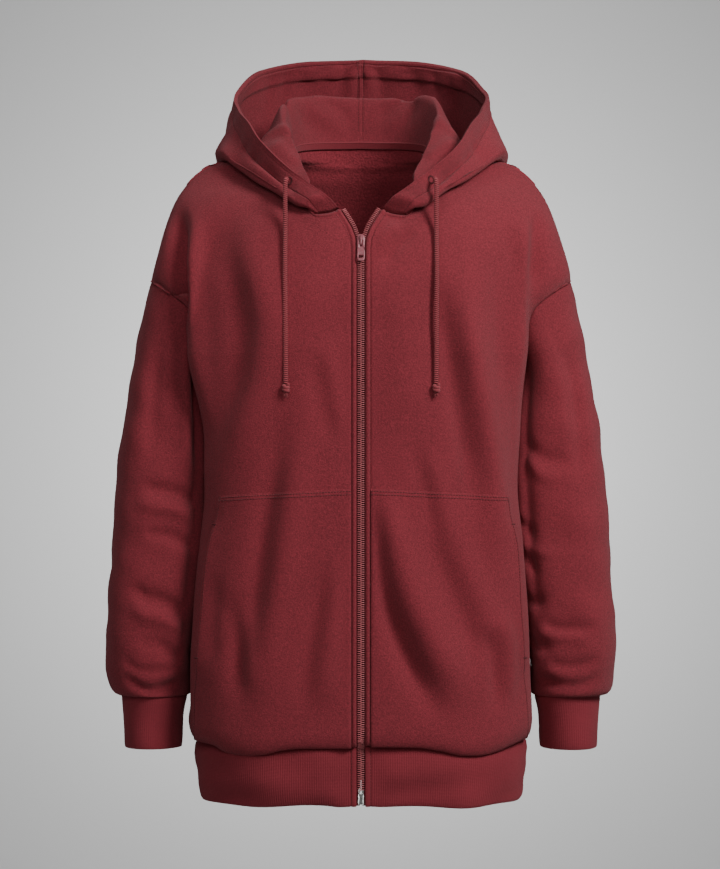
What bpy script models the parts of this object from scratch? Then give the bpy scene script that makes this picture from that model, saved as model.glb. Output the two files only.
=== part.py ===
"""Zip up hoodie, hollow as if worn: metres, +Z up, the front faces -Y, the wearer's left is +X.

The origin is the centre of the neck, level with the neck ends of the shoulder seams.
Every panel is a wall: its outer face comes from a short table of sections, its inner face lies one
thickness inside, and neighbouring panels stop SEAM apart.
"""

import bmesh
import bpy
import numpy as np

MM = 0.001
FLEECE = 2.2  # thickness of the cloth
RIB = 2.6  # thickness of the ribbed hem and cuffs
TAPE = 0.9  # thickness of the zip tape and the neck tape
SEAM = 0.3  # gap between two sewn edges
CENTRE_Y = 8.0  # the side seams and shoulder seams lie on this plane
ZIP_EDGE = 4.9  # the fronts stop this far from the middle, either side of the zip

# Horizontal sections of the body, from the back of the neck down to the hem seam.
# height, half width at the side, half width of the trunk without the shoulder cap, depth of the
# front, depth of the back, squareness of the corner, half gap of the armhole, hollow at the sleeve
BODY = np.array([
    (40, 81, 81, 20, 72, 2.00, 0, 0),
    (31, 83, 83, 22, 76, 2.00, 0, 0),
    (24, 84, 84, 24, 79, 2.00, 0, 0),
    (12, 89, 89, 30, 84, 1.90, 0, 0),
    (7, 130, 130, 38, 86, 1.50, 0, 0),
    (1, 170, 170, 45, 90, 1.38, 0, 0),
    (-9, 187, 187, 54, 95, 1.36, 0, 0),
    (-24, 202, 202, 68, 103, 1.50, 0, 0),
    (-40, 213, 210, 84, 110, 1.70, 0, 0),
    (-68, 224.5, 210, 105, 118, 2.00, 0, 0),
    (-100, 233.5, 203, 118, 124, 2.30, 0, 0),
    (-133, 241.5, 199, 125, 127, 2.60, 0, 0),
    (-137, 239, 198.5, 126, 127, 2.64, 27, 0),
    (-148, 226, 197, 127, 128, 2.70, 47, 0),
    (-170, 203, 195, 129, 129, 2.80, 57, 4),
    (-195, 193.5, 193.5, 130, 130, 2.90, 50, 11),
    (-214, 192.5, 192.5, 131, 130, 2.96, 28, 17),
    (-222, 192, 192, 131, 130, 3.00, 0, 22),
    (-300, 189, 189, 131, 129, 3.00, 0, 23),
    (-370, 186, 186, 132, 126, 3.00, 0, 20),
    (-432, 191, 191, 132, 124, 3.00, 0, 20),
    (-508, 198.5, 198.5, 132, 123, 3.00, 0, 19),
    (-573, 202, 202, 133, 122, 2.90, 0, 13),
    (-640, 201, 201, 134, 122, 2.80, 0, 4),
    (-656, 197, 197, 132, 120, 2.75, 0, 2),
    (-661, 192, 192, 128, 116, 2.70, 0, 0),
    (-657, 187, 187, 125, 113, 2.70, 0, 0),
], float)
CAP = 74.0  # depth at which the shoulder cap leaves the trunk
TIP, ARMPIT, HEM_SEAM = 11, 17, 26  # rows at the shoulder tip, the armpit and the hem seam

# The front neck seam: distance from the middle, height
FRONT_NECK = np.array([
    (24, -58), (38, -63), (50, -64), (64, -54), (76, -37), (85, -13), (89, 12),
], float)
# The back neck seam, in the same columns
BACK_NECK = np.array([(0, 31), (43, 29), (72, 24), (84, 17), (89, 12)], float)
# The zip edge of a front: height, distance from the middle
ZIP_LINE = np.array([(-58, 24), (-68, 17.5), (-80, 10.5), (-92, 6.2), (-104, 4.9)], float)


def curve(knots, values, at):
    """Smooth curve through the values at the knots that never overshoots them."""
    knots = np.asarray(knots, float)
    values = np.asarray(values, float)
    at = np.clip(at, knots[0], knots[-1])
    step = np.diff(knots)
    rise = np.diff(values) / step
    slope = np.zeros(len(knots))
    same = rise[:-1] * rise[1:] > 0
    before = 2 * step[1:] + step[:-1]
    after = step[1:] + 2 * step[:-1]
    safe_a = np.where(same, rise[:-1], 1)
    safe_b = np.where(same, rise[1:], 1)
    slope[1:-1] = np.where(same, (before + after) / (before / safe_a + after / safe_b), 0)
    slope[0] = rise[0]
    slope[-1] = rise[-1]
    i = np.clip(np.searchsorted(knots, at, side="right") - 1, 0, len(step) - 1)
    s = (at - knots[i]) / step[i]
    h = step[i]
    return (
        values[i] * (1 + 2 * s) * (1 - s) ** 2
        + slope[i] * h * s * (1 - s) ** 2
        + values[i + 1] * s * s * (3 - 2 * s)
        + slope[i + 1] * h * s * s * (s - 1)
    )


def ease(x):
    """Smooth step from 0 to 1."""
    x = np.clip(x, 0, 1)
    return x * x * (3 - 2 * x)


ROWS = np.arange(len(BODY))
DENSE = np.linspace(0, 25, 2501)
DENSE_Z = curve(ROWS, BODY[:, 0], DENSE)


def row_at(height):
    """Row number of the body table at a height above the hem."""
    return np.interp(-np.asarray(height, float), -DENSE_Z, DENSE)


def body(t, row, back=0):
    """Point on the body's outer face.

    t runs from 0 in the middle to 1 at the side seam, the armhole and the shoulder seam.
    """
    t = np.asarray(t, float)
    row = np.asarray(row, float)
    z, half, trunk, front, rear, square, gap, press = [
        curve(ROWS, BODY[:, k], row) for k in range(8)
    ]
    depth = rear if back else front
    end = np.arccos(np.clip(gap / depth, 0, 1) ** (square / 2))
    t0 = np.clip(np.abs(t), 0, 1)
    angle = np.minimum(t0, 0.7) * np.pi / 2 + np.maximum(t0 - 0.7, 0) / 0.3 * (end - 0.35 * np.pi)
    deep = depth * np.clip(np.cos(angle), 0, 1) ** (2 / square)
    full = np.maximum(gap, 26 * ease((row - 5) / 6))
    share = np.clip((deep - full) / (CAP - full), 0, 1)
    x = trunk * np.sin(angle) ** (2 / square) + (half - trunk) * (1 - share**2) ** 1.2
    x = x - press * ease((72 - deep) / 42)
    y = CENTRE_Y + (deep if back else -deep)
    return np.stack(np.broadcast_arrays(np.sign(t) * x, y, z), -1)


def side_of(x, row):
    """The t of a point of the front at a distance from the middle."""
    t = np.linspace(0, 1, 401)
    x, row = np.broadcast_arrays(np.asarray(x, float), np.asarray(row, float))
    result = np.empty(x.shape)
    for index in np.ndindex(x.shape):
        wide = np.maximum.accumulate(body(t, row[index])[:, 0])
        result[index] = np.interp(x[index], wide, t)
    return result


def zip_edge_x(z):
    """Distance of the front's zip edge from the middle."""
    return np.interp(-np.asarray(z, float), -ZIP_LINE[:, 0], ZIP_LINE[:, 1])


def edge_t(row):
    """The t of the zip edge of a front."""
    return side_of(zip_edge_x(curve(ROWS, BODY[:, 0], row)), row)


def neck_path(back):
    """The neck seam as t and row numbers, from the middle to the shoulder seam."""
    table = BACK_NECK if back else FRONT_NECK
    s = np.linspace(0, len(table) - 1, 61)
    x = curve(np.arange(len(table)), table[:, 0], s)
    row = row_at(curve(np.arange(len(table)), table[:, 1], s))
    t = np.empty(len(s))
    sample = np.linspace(0, 1, 801)
    for k in range(len(s)):
        wide = np.maximum.accumulate(body(sample, row[k], back)[:, 0])
        t[k] = np.interp(x[k], wide, sample)
    t[-1] = 1
    return np.maximum.accumulate(t), row


# The hood from its front end beside the zip (row 0) round to the middle of the back (row 12).
# azimuth of the wall and of the rim, then distance from the neck axis and height of each line along
# the cloth: crest of the inner roll, back of the roll, lowest fold, belly, casing seam, rim
HOOD = np.array([
    (29.5, 15, 0, 0, 0, 0, 0, 0, 0, 0, 0, 0, 0, 0),
    (33, 21, 106.5, -58.5, 109.5, -57.8, 113, -58, 116, -55, 116.5, -48.5, 107.5, -43.5),
    (38, 28, 98, -43, 105, -48, 115.5, -56, 119.5, -51, 116.5, -42.5, 109, -34.5),
    (43, 35, 87, -22, 101, -36, 117, -50, 121, -44.5, 116, -37, 110.5, -25),
    (54, 45, 80, -8, 98, -20, 118.5, -39, 125, -31.5, 116.5, -26, 114, -12),
    (66, 54.5, 76, 5, 97, -4, 125.5, -27, 133.5, -17, 122, -10, 119.5, 3.5),
    (79, 65, 74, 20, 104, 12, 136, -12, 146, -1.5, 130, 8, 125, 21),
    (92, 80, 77, 38, 108, 21, 156, 5, 164, 15.5, 141, 36, 132, 46),
    (106, 98, 87, 58, 115, 22, 167, -5, 177, 15, 154, 57.5, 146, 65.5),
    (121, 116, 98, 78, 122, 18, 164, -25, 183, 15, 170, 77, 167.5, 91),
    (137, 134, 101, 85, 120, 10, 162, -55, 184, 0, 172, 99.5, 172, 121),
    (158, 157, 98, 86.5, 113, 2, 158, -88, 180, -10, 163, 115, 157.5, 137),
    (180, 180, 96, 87, 112, 0, 153, -100, 176, -15, 154, 120, 151, 142.5),
], float)
CASING = 4.2  # thickness of the turned edge that holds the drawcord
LEAN = np.array([0, 0.02, 0.05, 0.1, 0.15, 0.2, 1])  # how far each line leans to the rim's azimuth

# The sleeve: centre across, front to back and in height, half width, half depth, tilt of the loop
SLEEVE = np.array([
    (210, 8, -178, 53, 54, 55),
    (214, 8, -206, 52, 54, 47),
    (218, 8, -242, 51, 54, 36),
    (221, 5, -288, 50.5, 54, 22),
    (225.5, 2, -345, 54, 55, 10),
    (230.5, -2, -430, 55, 56, 3),
    (237, -4, -494, 53.3, 56, 0),
    (242, -4, -540, 50, 55, 0),
    (244.5, -4, -576, 46, 53, 0),
    (243.5, -3.5, -596, 44, 51, 0),
    (242, -3, -609, 41.8, 48.6, 0),
    (240, -3, -616, 39.4, 45.8, 0),
    (238.5, -3, -618, 37, 43.4, 0),
], float)
# The cuff: height, centre across, half width, half depth
CUFF = np.array([
    (-615.5, 238.5, 34.6, 41), (-624, 238.5, 34.6, 40.6), (-650, 238.5, 33.8, 39.2),
    (-667.5, 238.5, 32.6, 37.8),
], float)
CUFF_Y = -3.0
# The hem rib: height, half width, front depth, back depth
HEM = np.array([
    (-658.2, 185.4, 123.6, 111.6), (-668, 185.6, 123.8, 111.8), (-690, 184.8, 123.4, 111.6),
    (-710, 183.6, 122.6, 111), (-722, 182.6, 121.8, 110.4),
], float)
# The pocket's outer edge: height, distance from the middle
POCKET = np.array([
    (-362, 155), (-372, 156.5), (-399, 161), (-435, 169), (-480, 175), (-524, 179), (-567, 183),
    (-600, 187.5), (-650, 188.5),
], float)
# The zip tape below the blouse of the cloth: height, depth of its front face
ZIP_HEM = np.array([
    (-648, -120.6), (-654, -115), (-657, -112.5), (-668, -112.5), (-690, -112.1),
    (-710, -111.4), (-721, -110.7),
], float)
ZIP_LAST = 23  # the last row of the body that the tape follows
CLEAR = 0.35  # gap between cloths that lie on one another
SLIDER_Z = -97.0  # height of the slider's middle
HINGE_UP = 2.5  # from the slider's middle up to the bar of the pull tab
HINGE_OUT = 5.15  # how far that bar lies in front of the tape
PULL_LENGTH = 27.0  # of the pull tab
# The drawcord on the wearer's left: how far across, depth and height
CORD = np.array([
    (83, -90.2, -25), (83.6, -94.2, -26.6), (84, -96.6, -31), (84.2, -97.6, -38),
    (84.2, -98.6, -50), (84, -99.6, -65), (84, -101.6, -80), (84, -107.4, -100),
    (84, -115.2, -130), (83.6, -120, -170), (83.2, -122.5, -215), (83, -122.9, -254),
], float)
CORD_RADIUS = 2.4
# The knot and the frayed end below it: radius, height
KNOT = np.array([(2.0, -254.4), (3.9, -256), (4.5, -259), (3.7, -262), (2.3, -263.6), (3.0, -269)], float)

# Columns of a front: the zip edge, the stitch line of the placket, then shares of the way to the side
FRONT_COLUMNS = [0, 0.05, 0.1, 0.16, 0.23, 0.31, 0.4, 0.5, 0.62, 0.74, 0.87, 1]
PLACKET = 5.6  # from the zip edge to its stitch line
POCKET_COLUMN = 8  # the column that follows the pocket's outer edge
UPPER = [3, 4, 5, 6, 7, 8.5, 10, 11, 11.5, 12, 12.6, 13.3, 14.1, 14.9, 15.6, 16.3, 17]
LOWER = [17.5, 18, 18.5, 19, 19.5, 20, 20.7, 21.4, 22, 22.5, 23, 23.5, 24, 25, 26]
# Rows of the sleeve, extra azimuths of the hood where its fold begins, and rows up the hood
SLEEVE_ROWS = [0, 0.35, 0.8, 1.3, 2, 2.7, 3.4, 4.1, 4.9, 5.7, 6.5, 7.3, 8, 8.6, 9.2, 10, 11, 12]
HOOD_EXTRA = [31.2, 35.5, 45.5]
HOOD_V = np.array([
    0, 0.25, 0.5, 0.75, 1, 1.2, 1.45, 1.75, 2.1, 2.45, 2.7, 2.87, 3, 3.13, 3.3, 3.5, 3.75, 4,
    4.5, 5, 5.06, 5.5, 6,
])

NECK_CACHE = []
SEAMS = []


def normals(grid, loop=False):
    """Unit normals of a grid of points, by differences along both ways."""
    if loop:
        wide = np.concatenate([grid[-1:], grid, grid[:1]])
        along = (wide[2:] - wide[:-2]) / 2
    else:
        along = np.gradient(grid, axis=0)
    across = np.gradient(grid, axis=1)
    n = np.cross(along, across)
    return unit(n)


def unit(v):
    """Vectors at length 1."""
    return v / np.maximum(np.linalg.norm(v, axis=-1, keepdims=True), 1e-12)


def trim(outer, inner, edges, gap=SEAM / 2):
    """Pull the named edges of a wall back along its own surface, for the seam gap."""
    for edge in edges:
        axis, at, beside = {
            "first": (0, 0, 1), "last": (0, -1, -2), "top": (1, 0, 1), "bottom": (1, -1, -2),
        }[edge]
        here = outer.take(at, axis)
        move = unit(outer.take(beside, axis) - here) * gap
        if axis == 0:
            outer[at] += move
            inner[at] += move
        else:
            outer[:, at] += move
            inner[:, at] += move
    return outer, inner


def add_mesh(name, verts, faces, mat):
    """Link a mesh object, given in millimetres, with its faces turned outward."""
    mesh = bpy.data.meshes.new(name)
    mesh.from_pydata((np.asarray(verts) * MM).tolist(), [], faces)
    mesh.materials.append(mat)
    obj = bpy.data.objects.new(name, mesh)
    bpy.context.collection.objects.link(obj)
    bm = bmesh.new()
    bm.from_mesh(mesh)
    bmesh.ops.remove_doubles(bm, verts=bm.verts, dist=1e-8)
    bmesh.ops.triangulate(bm, faces=bm.faces)
    bmesh.ops.recalc_face_normals(bm, faces=bm.faces)
    if bm.calc_volume(signed=True) < 0:
        bmesh.ops.reverse_faces(bm, faces=bm.faces)
    bm.to_mesh(mesh)
    bm.free()
    return obj


def wall(name, outer, inner, mat, loop=False):
    """A closed wall between two grids of points, round in the first direction when it is a loop."""
    n, m = outer.shape[:2]
    verts = np.concatenate([outer.reshape(-1, 3), inner.reshape(-1, 3)])
    index = np.arange(n * m).reshape(n, m)
    if loop:
        index = np.concatenate([index, index[:1]])
    a, b = index[:-1, :-1], index[1:, :-1]
    c, d = index[1:, 1:], index[:-1, 1:]
    faces = np.stack([a, b, c, d], -1).reshape(-1, 4).tolist()
    faces += (np.stack([d, c, b, a], -1).reshape(-1, 4) + n * m).tolist()
    rims = [index[:, 0], index[:, -1][::-1]]
    if not loop:
        rims += [index[0, ::-1], index[-1, :]]
    for rim in rims:
        for p, q in zip(rim[:-1].tolist(), rim[1:].tolist()):
            faces.append([q, p, p + n * m, q + n * m])
    return add_mesh(name, verts, faces, mat)


def material(name, colour, rough, metal=0.0):
    """A Principled material."""
    mat = bpy.data.materials.new(name)
    mat.use_nodes = True
    shader = mat.node_tree.nodes["Principled BSDF"]
    shader.inputs["Base Color"].default_value = (*colour, 1)
    shader.inputs["Roughness"].default_value = rough
    shader.inputs["Metallic"].default_value = metal
    mat.diffuse_color = (*colour, 1)
    return mat


def flip(points, sign):
    """Mirror points to the wearer's right for sign -1."""
    return points * np.array([sign, 1, 1])


def panel_domain(back, columns):
    """Rows and t of the grid of one half of the front or back, from the middle to the side."""
    neck_t, neck_row = neck_path(back)
    share = np.array(FRONT_COLUMNS if not back else np.linspace(0, 1, columns))
    columns = len(share)
    t = np.empty((columns, len(UPPER) + len(LOWER)))
    row = np.empty_like(t)
    first = neck_t[0]
    top_t = first + (1 - first) * share
    top_row = np.interp(top_t, neck_t, neck_row)
    down = (np.array(UPPER) - 3) / 14
    for k, f in enumerate(down):
        row[:, k] = top_row + (17 - top_row) * f
    for k, r in enumerate(LOWER):
        tilt = 0 if back else 0.13 * max(0.0, 1 - abs(r - 19) / 0.9)
        row[:, len(UPPER) + k] = r + tilt * np.clip(share / 0.62, 0, 1)
    row[-1, : len(UPPER)] = UPPER
    start = np.zeros(t.shape[1]) if back else edge_t(row[0])
    for k in range(t.shape[1]):
        t[:, k] = start[k] + (1 - start[k]) * share
    if not back:
        edge = share[POCKET_COLUMN]
        z = curve(ROWS, BODY[:, 0], row[POCKET_COLUMN])
        side = side_of(curve(-POCKET[:, 0], POCKET[:, 1], -z), row[POCKET_COLUMN])
        split = np.clip(share / edge, 0, 1)[:, None]
        beyond = np.clip((share - edge) / (1 - edge), 0, 1)[:, None]
        fitted = start + (side - start) * split + (1 - side) * beyond
        blend = ease((row - 17) / 2)
        t = t + (fitted - t) * blend
        z = curve(ROWS, BODY[:, 0], row[1])
        t[1] = side_of(zip_edge_x(z) + PLACKET, row[1])
    t[:, 0] = top_t
    return t, row


def panel(back, columns):
    """Outer points and normals of one half of the front or back."""
    t, row = panel_domain(back, columns)
    outer = body(t, row, back)
    step = 0.02
    along = body(t, row, back) - body(t - step, row, back)
    first = body(t + step, row, back) - body(t, row, back)
    along[0] = first[0]
    down = body(t, row + 0.04, back) - body(t, row - 0.04, back)
    n = unit(np.cross(along, down))
    sewn = (row[-1] <= 11) | (row[-1] >= 17)
    n[-1, sewn, 1] = 0
    n = unit(n)
    away = outer - np.array([0, CENTRE_Y, 0])
    turn = np.sign(n[..., 0] * away[..., 0] + n[..., 1] * away[..., 1])
    turn[turn == 0] = 1
    if np.median(turn) < 0:
        n = -n
    return outer, n, row


def hood_point(u, v):
    """Point on the hood's outside: u is the row of the table, v runs from neck seam 0 to rim 6."""
    neck = neck_ring()
    u, v = np.broadcast_arrays(np.asarray(u, float), np.asarray(v, float))
    rows = np.arange(len(HOOD))
    wall_az = curve(rows, HOOD[:, 0], u)
    rim_az = curve(rows, HOOD[:, 1], u)
    azimuth = wall_az + (rim_az - wall_az) * curve(np.arange(7), LEAN, v)
    seam_r = np.interp(azimuth, neck[0], neck[1])
    seam_z = np.interp(azimuth, neck[0], neck[2])
    table = HOOD.copy()
    for k in range(7):
        az0 = HOOD[0, 0] + (HOOD[0, 1] - HOOD[0, 0]) * LEAN[k]
        if k:
            table[0, 2 * k] = np.interp(az0, neck[0], neck[1])
            table[0, 2 * k + 1] = np.interp(az0, neck[0], neck[2])
    radius = np.empty((7,) + u.shape)
    height = np.empty((7,) + u.shape)
    start_r = np.interp(wall_az, neck[0], neck[1])
    start_z = np.interp(wall_az, neck[0], neck[2])
    radius[0] = start_r
    height[0] = start_z
    for k in range(1, 7):
        radius[k] = curve(rows, table[:, 2 * k], u)
        height[k] = curve(rows, table[:, 2 * k + 1], u)
    r = np.empty(u.shape)
    z = np.empty(u.shape)
    for index in np.ndindex(u.shape):
        here = (slice(None),) + index
        r[index] = curve(np.arange(7), radius[here], v[index])
        z[index] = curve(np.arange(7), height[here], v[index])
    low = ease(1 - u) * (u < 1)
    r = r + (seam_r - r) * low * (u <= 0)
    z = z + (seam_z - z) * low * (u <= 0)
    a = np.radians(azimuth)
    return np.stack([r * np.sin(a), -r * np.cos(a), z], -1)


def neck_ring():
    """Azimuth, distance and height along the neck edge of the panels, from the zip to the back."""
    if not NECK_CACHE:
        front, _, _ = panel(0, 12)
        rear, _, _ = panel(1, 11)
        edge = np.concatenate([front[:, 0], rear[::-1, 0][1:]])
        s = np.linspace(0, len(edge) - 1, 30 * len(edge) + 1)
        line = np.stack([np.interp(s, np.arange(len(edge)), edge[:, k]) for k in range(3)], -1)
        NECK_CACHE.append((azimuth_of(line), np.hypot(line[:, 0], line[:, 1]), line[:, 2]))
    return NECK_CACHE[0]


def seam_between(points, first, second, hint_first, hint_second, closed=False):
    """Shared normal of two cloths along a seam, and the way from the first into the second."""
    if closed:
        tangent = np.roll(points, -1, 0) - np.roll(points, 1, 0)
    else:
        tangent = np.gradient(points, axis=0)
    into_first = unit(np.cross(tangent, first))
    into_first *= np.sign(np.sum(into_first * hint_first, -1, keepdims=True))
    into_second = unit(np.cross(tangent, second))
    into_second *= np.sign(np.sum(into_second * hint_second, -1, keepdims=True))
    normal = unit(first + second + into_first + into_second)
    return normal, unit(into_second - into_first)


def neck_seam(azimuth):
    """Normal shared by the body and the hood at the neck seam, and the way into the hood."""
    if not SEAMS:
        front, n_front, _ = panel(0, 12)
        rear, n_rear, _ = panel(1, 11)
        points = np.concatenate([front[:, 0], rear[::-1, 0][1:]])
        below = np.concatenate([front[:, 2] - front[:, 0], (rear[:, 2] - rear[:, 0])[::-1][1:]])
        body_n = np.concatenate([n_front[:, 0], n_rear[::-1, 0][1:]])
        az = azimuth_of(points)
        grid, n = hood_grid()
        hood_az = azimuth_of(grid[:, 0])
        rise = grid[:, 2] - grid[:, 0]
        rise[0] = (0, 0, 1)
        spread = [np.interp(az, hood_az, n[:, 0, k]) for k in range(3)]
        up = [np.interp(az, hood_az, rise[:, k]) for k in range(3)]
        normal, way = seam_between(points, body_n, np.stack(spread, -1), below, np.stack(up, -1))
        SEAMS.append((az, normal, way))
    az, normal, way = SEAMS[0]
    return [
        unit(np.stack([np.interp(azimuth, az, v[:, k]) for k in range(3)], -1))
        for v in (normal, way)
    ]


def azimuth_of(points):
    """Angle round the neck axis in degrees, from the front."""
    return np.degrees(np.arctan2(points[..., 0], -points[..., 1]))


def back_wall():
    """Outer and inner points of the wearer's left half of the back."""
    on = [k for k in range(len(UPPER)) if UPPER[k] >= TIP]
    outer, n, row = panel(1, 11)
    n[-1, on] = sleeve_grid()[2][1]
    n[:, 0] = neck_seam(azimuth_of(outer[:, 0]))[0]
    n[0, :, 0] = 0
    near = np.array([max(0.0, 1 - (10 - k) / 3) for k in range(11)])[:, None]
    thick = FLEECE - 1.1 * near * (1 - ease(np.abs(row - 16.4) / 2))
    return outer, outer - unit(n) * thick[..., None]


def build_body(cloth):
    """The back in one piece and the two fronts."""
    on = [k for k in range(len(UPPER)) if UPPER[k] >= TIP]
    shared = sleeve_grid()[2]
    outer, inner = back_wall()
    left = flip(outer[::-1], -1)
    left_inner = flip(inner[::-1], -1)
    whole = np.concatenate([left[:-1], outer])
    whole_inner = np.concatenate([left_inner[:-1], inner])
    wall("back", *trim(whole, whole_inner, ["first", "last", "top", "bottom"], 0.17), cloth)
    outer, n, row = panel(0, 12)
    n[-1, on] = shared[0]
    n[:, 0] = neck_seam(azimuth_of(outer[:, 0]))[0]
    near = np.array([max(0.0, 1 - (11 - k) / 3) for k in range(12)])[:, None]
    thick = FLEECE - 1.2 * near * (1 - ease(np.abs(row - 16.6) / 1.6))
    smooth = n[-3] + 2 * n[-2] + n[-1]
    n[-2] = unit(n[-2] + (smooth - n[-2]) * (1 - ease(np.abs(row[-2:-1].T - 16.6) / 1.6)))
    inner = outer - n * thick[..., None]
    for name, sign in (("front_left", 1), ("front_right", -1)):
        parts = trim(outer.copy(), inner.copy(), ["last", "top", "bottom"], 0.17)
        wall(name, flip(parts[0], sign), flip(parts[1], sign), cloth)


def hood_rows():
    """Rows of the hood's grid: at the columns of the panels, with more where its fold begins."""
    front, _, _ = panel(0, 12)
    rear, _, _ = panel(1, 11)
    az = np.concatenate([
        azimuth_of(front[[3, 4, 5, 6, 7, 9, 11], 0]), azimuth_of(rear[::-1, 0][1:]), HOOD_EXTRA,
    ])
    sample = np.linspace(0, len(HOOD) - 1, 2401)
    known = curve(np.arange(len(HOOD)), HOOD[:, 0], sample)
    return np.interp(np.concatenate([[HOOD[0, 0]], np.sort(az)]), known, sample)


def hood_grid():
    """Points and normals of the hood's outside on the wearer's left."""
    u = hood_rows()
    grid = hood_point(u[:, None], HOOD_V[None, :])
    n = normals(grid)
    n[-1, :, 0] = 0
    n = unit(n)
    if n[-1, -1, 1] < 0:
        n = -n
    return grid, n


def build_hood(cloth):
    """Two halves, each with its turned edge."""
    grid, n = hood_grid()
    shift = np.zeros_like(grid)
    n[:, 0], shift[:, 0] = neck_seam(azimuth_of(grid[:, 0]))
    n[0], shift[0] = neck_seam(azimuth_of(grid[0]))
    n[-1, :, 0] = 0
    shift[-1, :, 0] = 0
    n = unit(n)
    u = hood_rows()[:, None]
    bend = np.exp(-(((HOOD_V[None, :] - 3.15) / 0.55) ** 2)) * (1 - ease((u - 3.6) / 2.4))
    end = (1 - ease(u / 1.3)) * ease((HOOD_V[None, :] - 2.4) / 0.6)
    thick = FLEECE - 1.1 * np.maximum(bend, end)
    thick = np.where(HOOD_V[None, :] > 5.01, CASING, thick)[..., None]
    grid = grid + shift * SEAM
    inner = grid - n * thick
    for name, sign in (("hood_left", 1), ("hood_right", -1)):
        parts = trim(grid.copy(), inner.copy(), ["last"])
        wall(name, flip(parts[0], sign), flip(parts[1], sign), cloth)


def armhole():
    """Points and outward normals round the armhole: shoulder tip, front, armpit, back."""
    rows = np.array([r for r in UPPER if r >= 11], float)
    loop = []
    for back in (0, 1):
        outer, n, row = panel(back, 12 if not back else 11)
        on = [k for k in range(len(UPPER)) if UPPER[k] >= 11]
        loop.append((outer[-1, on], n[-1, on]))
    points = np.concatenate([loop[0][0], loop[1][0][::-1][1:-1]])
    faces = np.concatenate([loop[0][1], loop[1][1][::-1][1:-1]])
    step = np.linalg.norm(np.diff(loop[0][0], axis=0), axis=1)
    front = np.pi * np.concatenate([[0], np.cumsum(step)]) / step.sum()
    angle = np.concatenate([front, 2 * np.pi - front[::-1][1:-1]])
    return points, faces, angle, len(rows)


def sleeve_point(s, angle):
    """Point on a sleeve's outer face: s is the row of the table, angle runs from the outside forward."""
    rows = np.arange(len(SLEEVE))
    cx, cy, cz, wide, deep, tilt = [curve(rows, SLEEVE[:, k], s) for k in range(6)]
    tilt = np.radians(tilt)
    square = 2 + np.where(np.cos(angle) < 0, 1.9, 0.3) * ease(s / 3) * ease((9.5 - s) / 2)
    across = wide * np.sign(np.cos(angle)) * np.abs(np.cos(angle)) ** (2 / square)
    x = cx + across * np.cos(tilt)
    z = cz + across * np.sin(tilt)
    y = cy - deep * np.sign(np.sin(angle)) * np.abs(np.sin(angle)) ** (2 / square)
    return np.stack(np.broadcast_arrays(x, y, z), -1)


def sleeve_grid():
    """Left sleeve: points, normals, the armhole's normals for front and back, gap and angles."""
    points, faces, angle, count = armhole()
    s = np.array(SLEEVE_ROWS)
    free = sleeve_point(s[None, :], angle[:, None])
    start = sleeve_point(0 * s[None, :], angle[:, None])
    fade = (1 - ease(s / 1.6))[None, :, None]
    outer = free + (points[:, None] - start) * fade
    n = normals(outer, loop=True)
    middle = outer.mean(axis=0, keepdims=True)
    if np.sum(n * (outer - middle)) < 0:
        n = -n
    hint = np.concatenate([armhole_way(0), armhole_way(1)[::-1][1:-1]])
    n[:, 0], gap = seam_between(points, faces, n[:, 0], hint, outer[:, 1] - outer[:, 0], True)
    front = n[:count, 0]
    back = np.concatenate([n[:1, 0], n[count - 1:, 0][::-1]])
    return outer, n, (front, back), gap * SEAM, angle


def armhole_way(back):
    """The way from the armhole into the front or back panel."""
    cloth, _, _ = panel(back, 12)
    on = [k for k in range(len(UPPER)) if UPPER[k] >= TIP]
    way = cloth[-2, on] - cloth[-1, on]
    way[0] = (0, 0, 1)
    way[-1] = (0, 0, -1)
    return way


def build_sleeves(cloth):
    """Two tubes from the armholes to the cuffs."""
    outer, n, _, gap, _ = sleeve_grid()
    outer[:, 0] += gap
    inner = outer - n * FLEECE
    wall("sleeve_left", outer, inner, cloth, loop=True)
    wall("sleeve_right", flip(outer, -1), flip(inner, -1), cloth, loop=True)


def oval(wide, deep, square, angle):
    """Point on a flattened ring; angle 0 is the front."""
    x = wide * np.sign(np.sin(angle)) * np.abs(np.sin(angle)) ** (2 / square)
    y = -deep * np.sign(np.cos(angle)) * np.abs(np.cos(angle)) ** (2 / square)
    return x, y


def build_cuffs(rib):
    """Two ribbed tubes."""
    angle = sleeve_grid()[4][:, None]
    z, cx, wide, deep = CUFF.T
    x = cx + wide[None, :] * np.cos(angle)
    y = CUFF_Y - deep[None, :] * np.sin(angle)
    outer = np.stack([x, y, np.broadcast_to(z, x.shape)], -1)
    n = unit(outer - np.array([CUFF[0, 1], CUFF_Y, 0]) - outer * np.array([0, 0, 1]))
    inner = outer - n * RIB
    wall("cuff_left", outer, inner, rib, loop=True)
    wall("cuff_right", flip(outer, -1), flip(inner, -1), rib, loop=True)


def build_hem(rib):
    """One ribbed band round the body, open at the zip."""
    z, wide, front, rear = HEM.T
    angle = np.linspace(0, np.pi, 25)[:, None]
    x, y = oval(wide[None, :], np.where(np.cos(angle) > 0, front, rear), 2.7, angle)
    side = np.stack([x, y + CENTRE_Y, np.broadcast_to(z, x.shape)], -1)
    side[0, :, 0] = ZIP_EDGE
    side[-1, :, 0] = 0
    outer = np.concatenate([side, flip(side[::-1][1:], -1)])
    n = normals(outer)
    if n[1, 0, 1] > 0:
        n = -n
    n[0, :, 0] = 0
    n[-1, :, 0] = 0
    n = unit(n)
    wall("hem_rib", outer, outer - n * RIB, rib)


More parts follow.
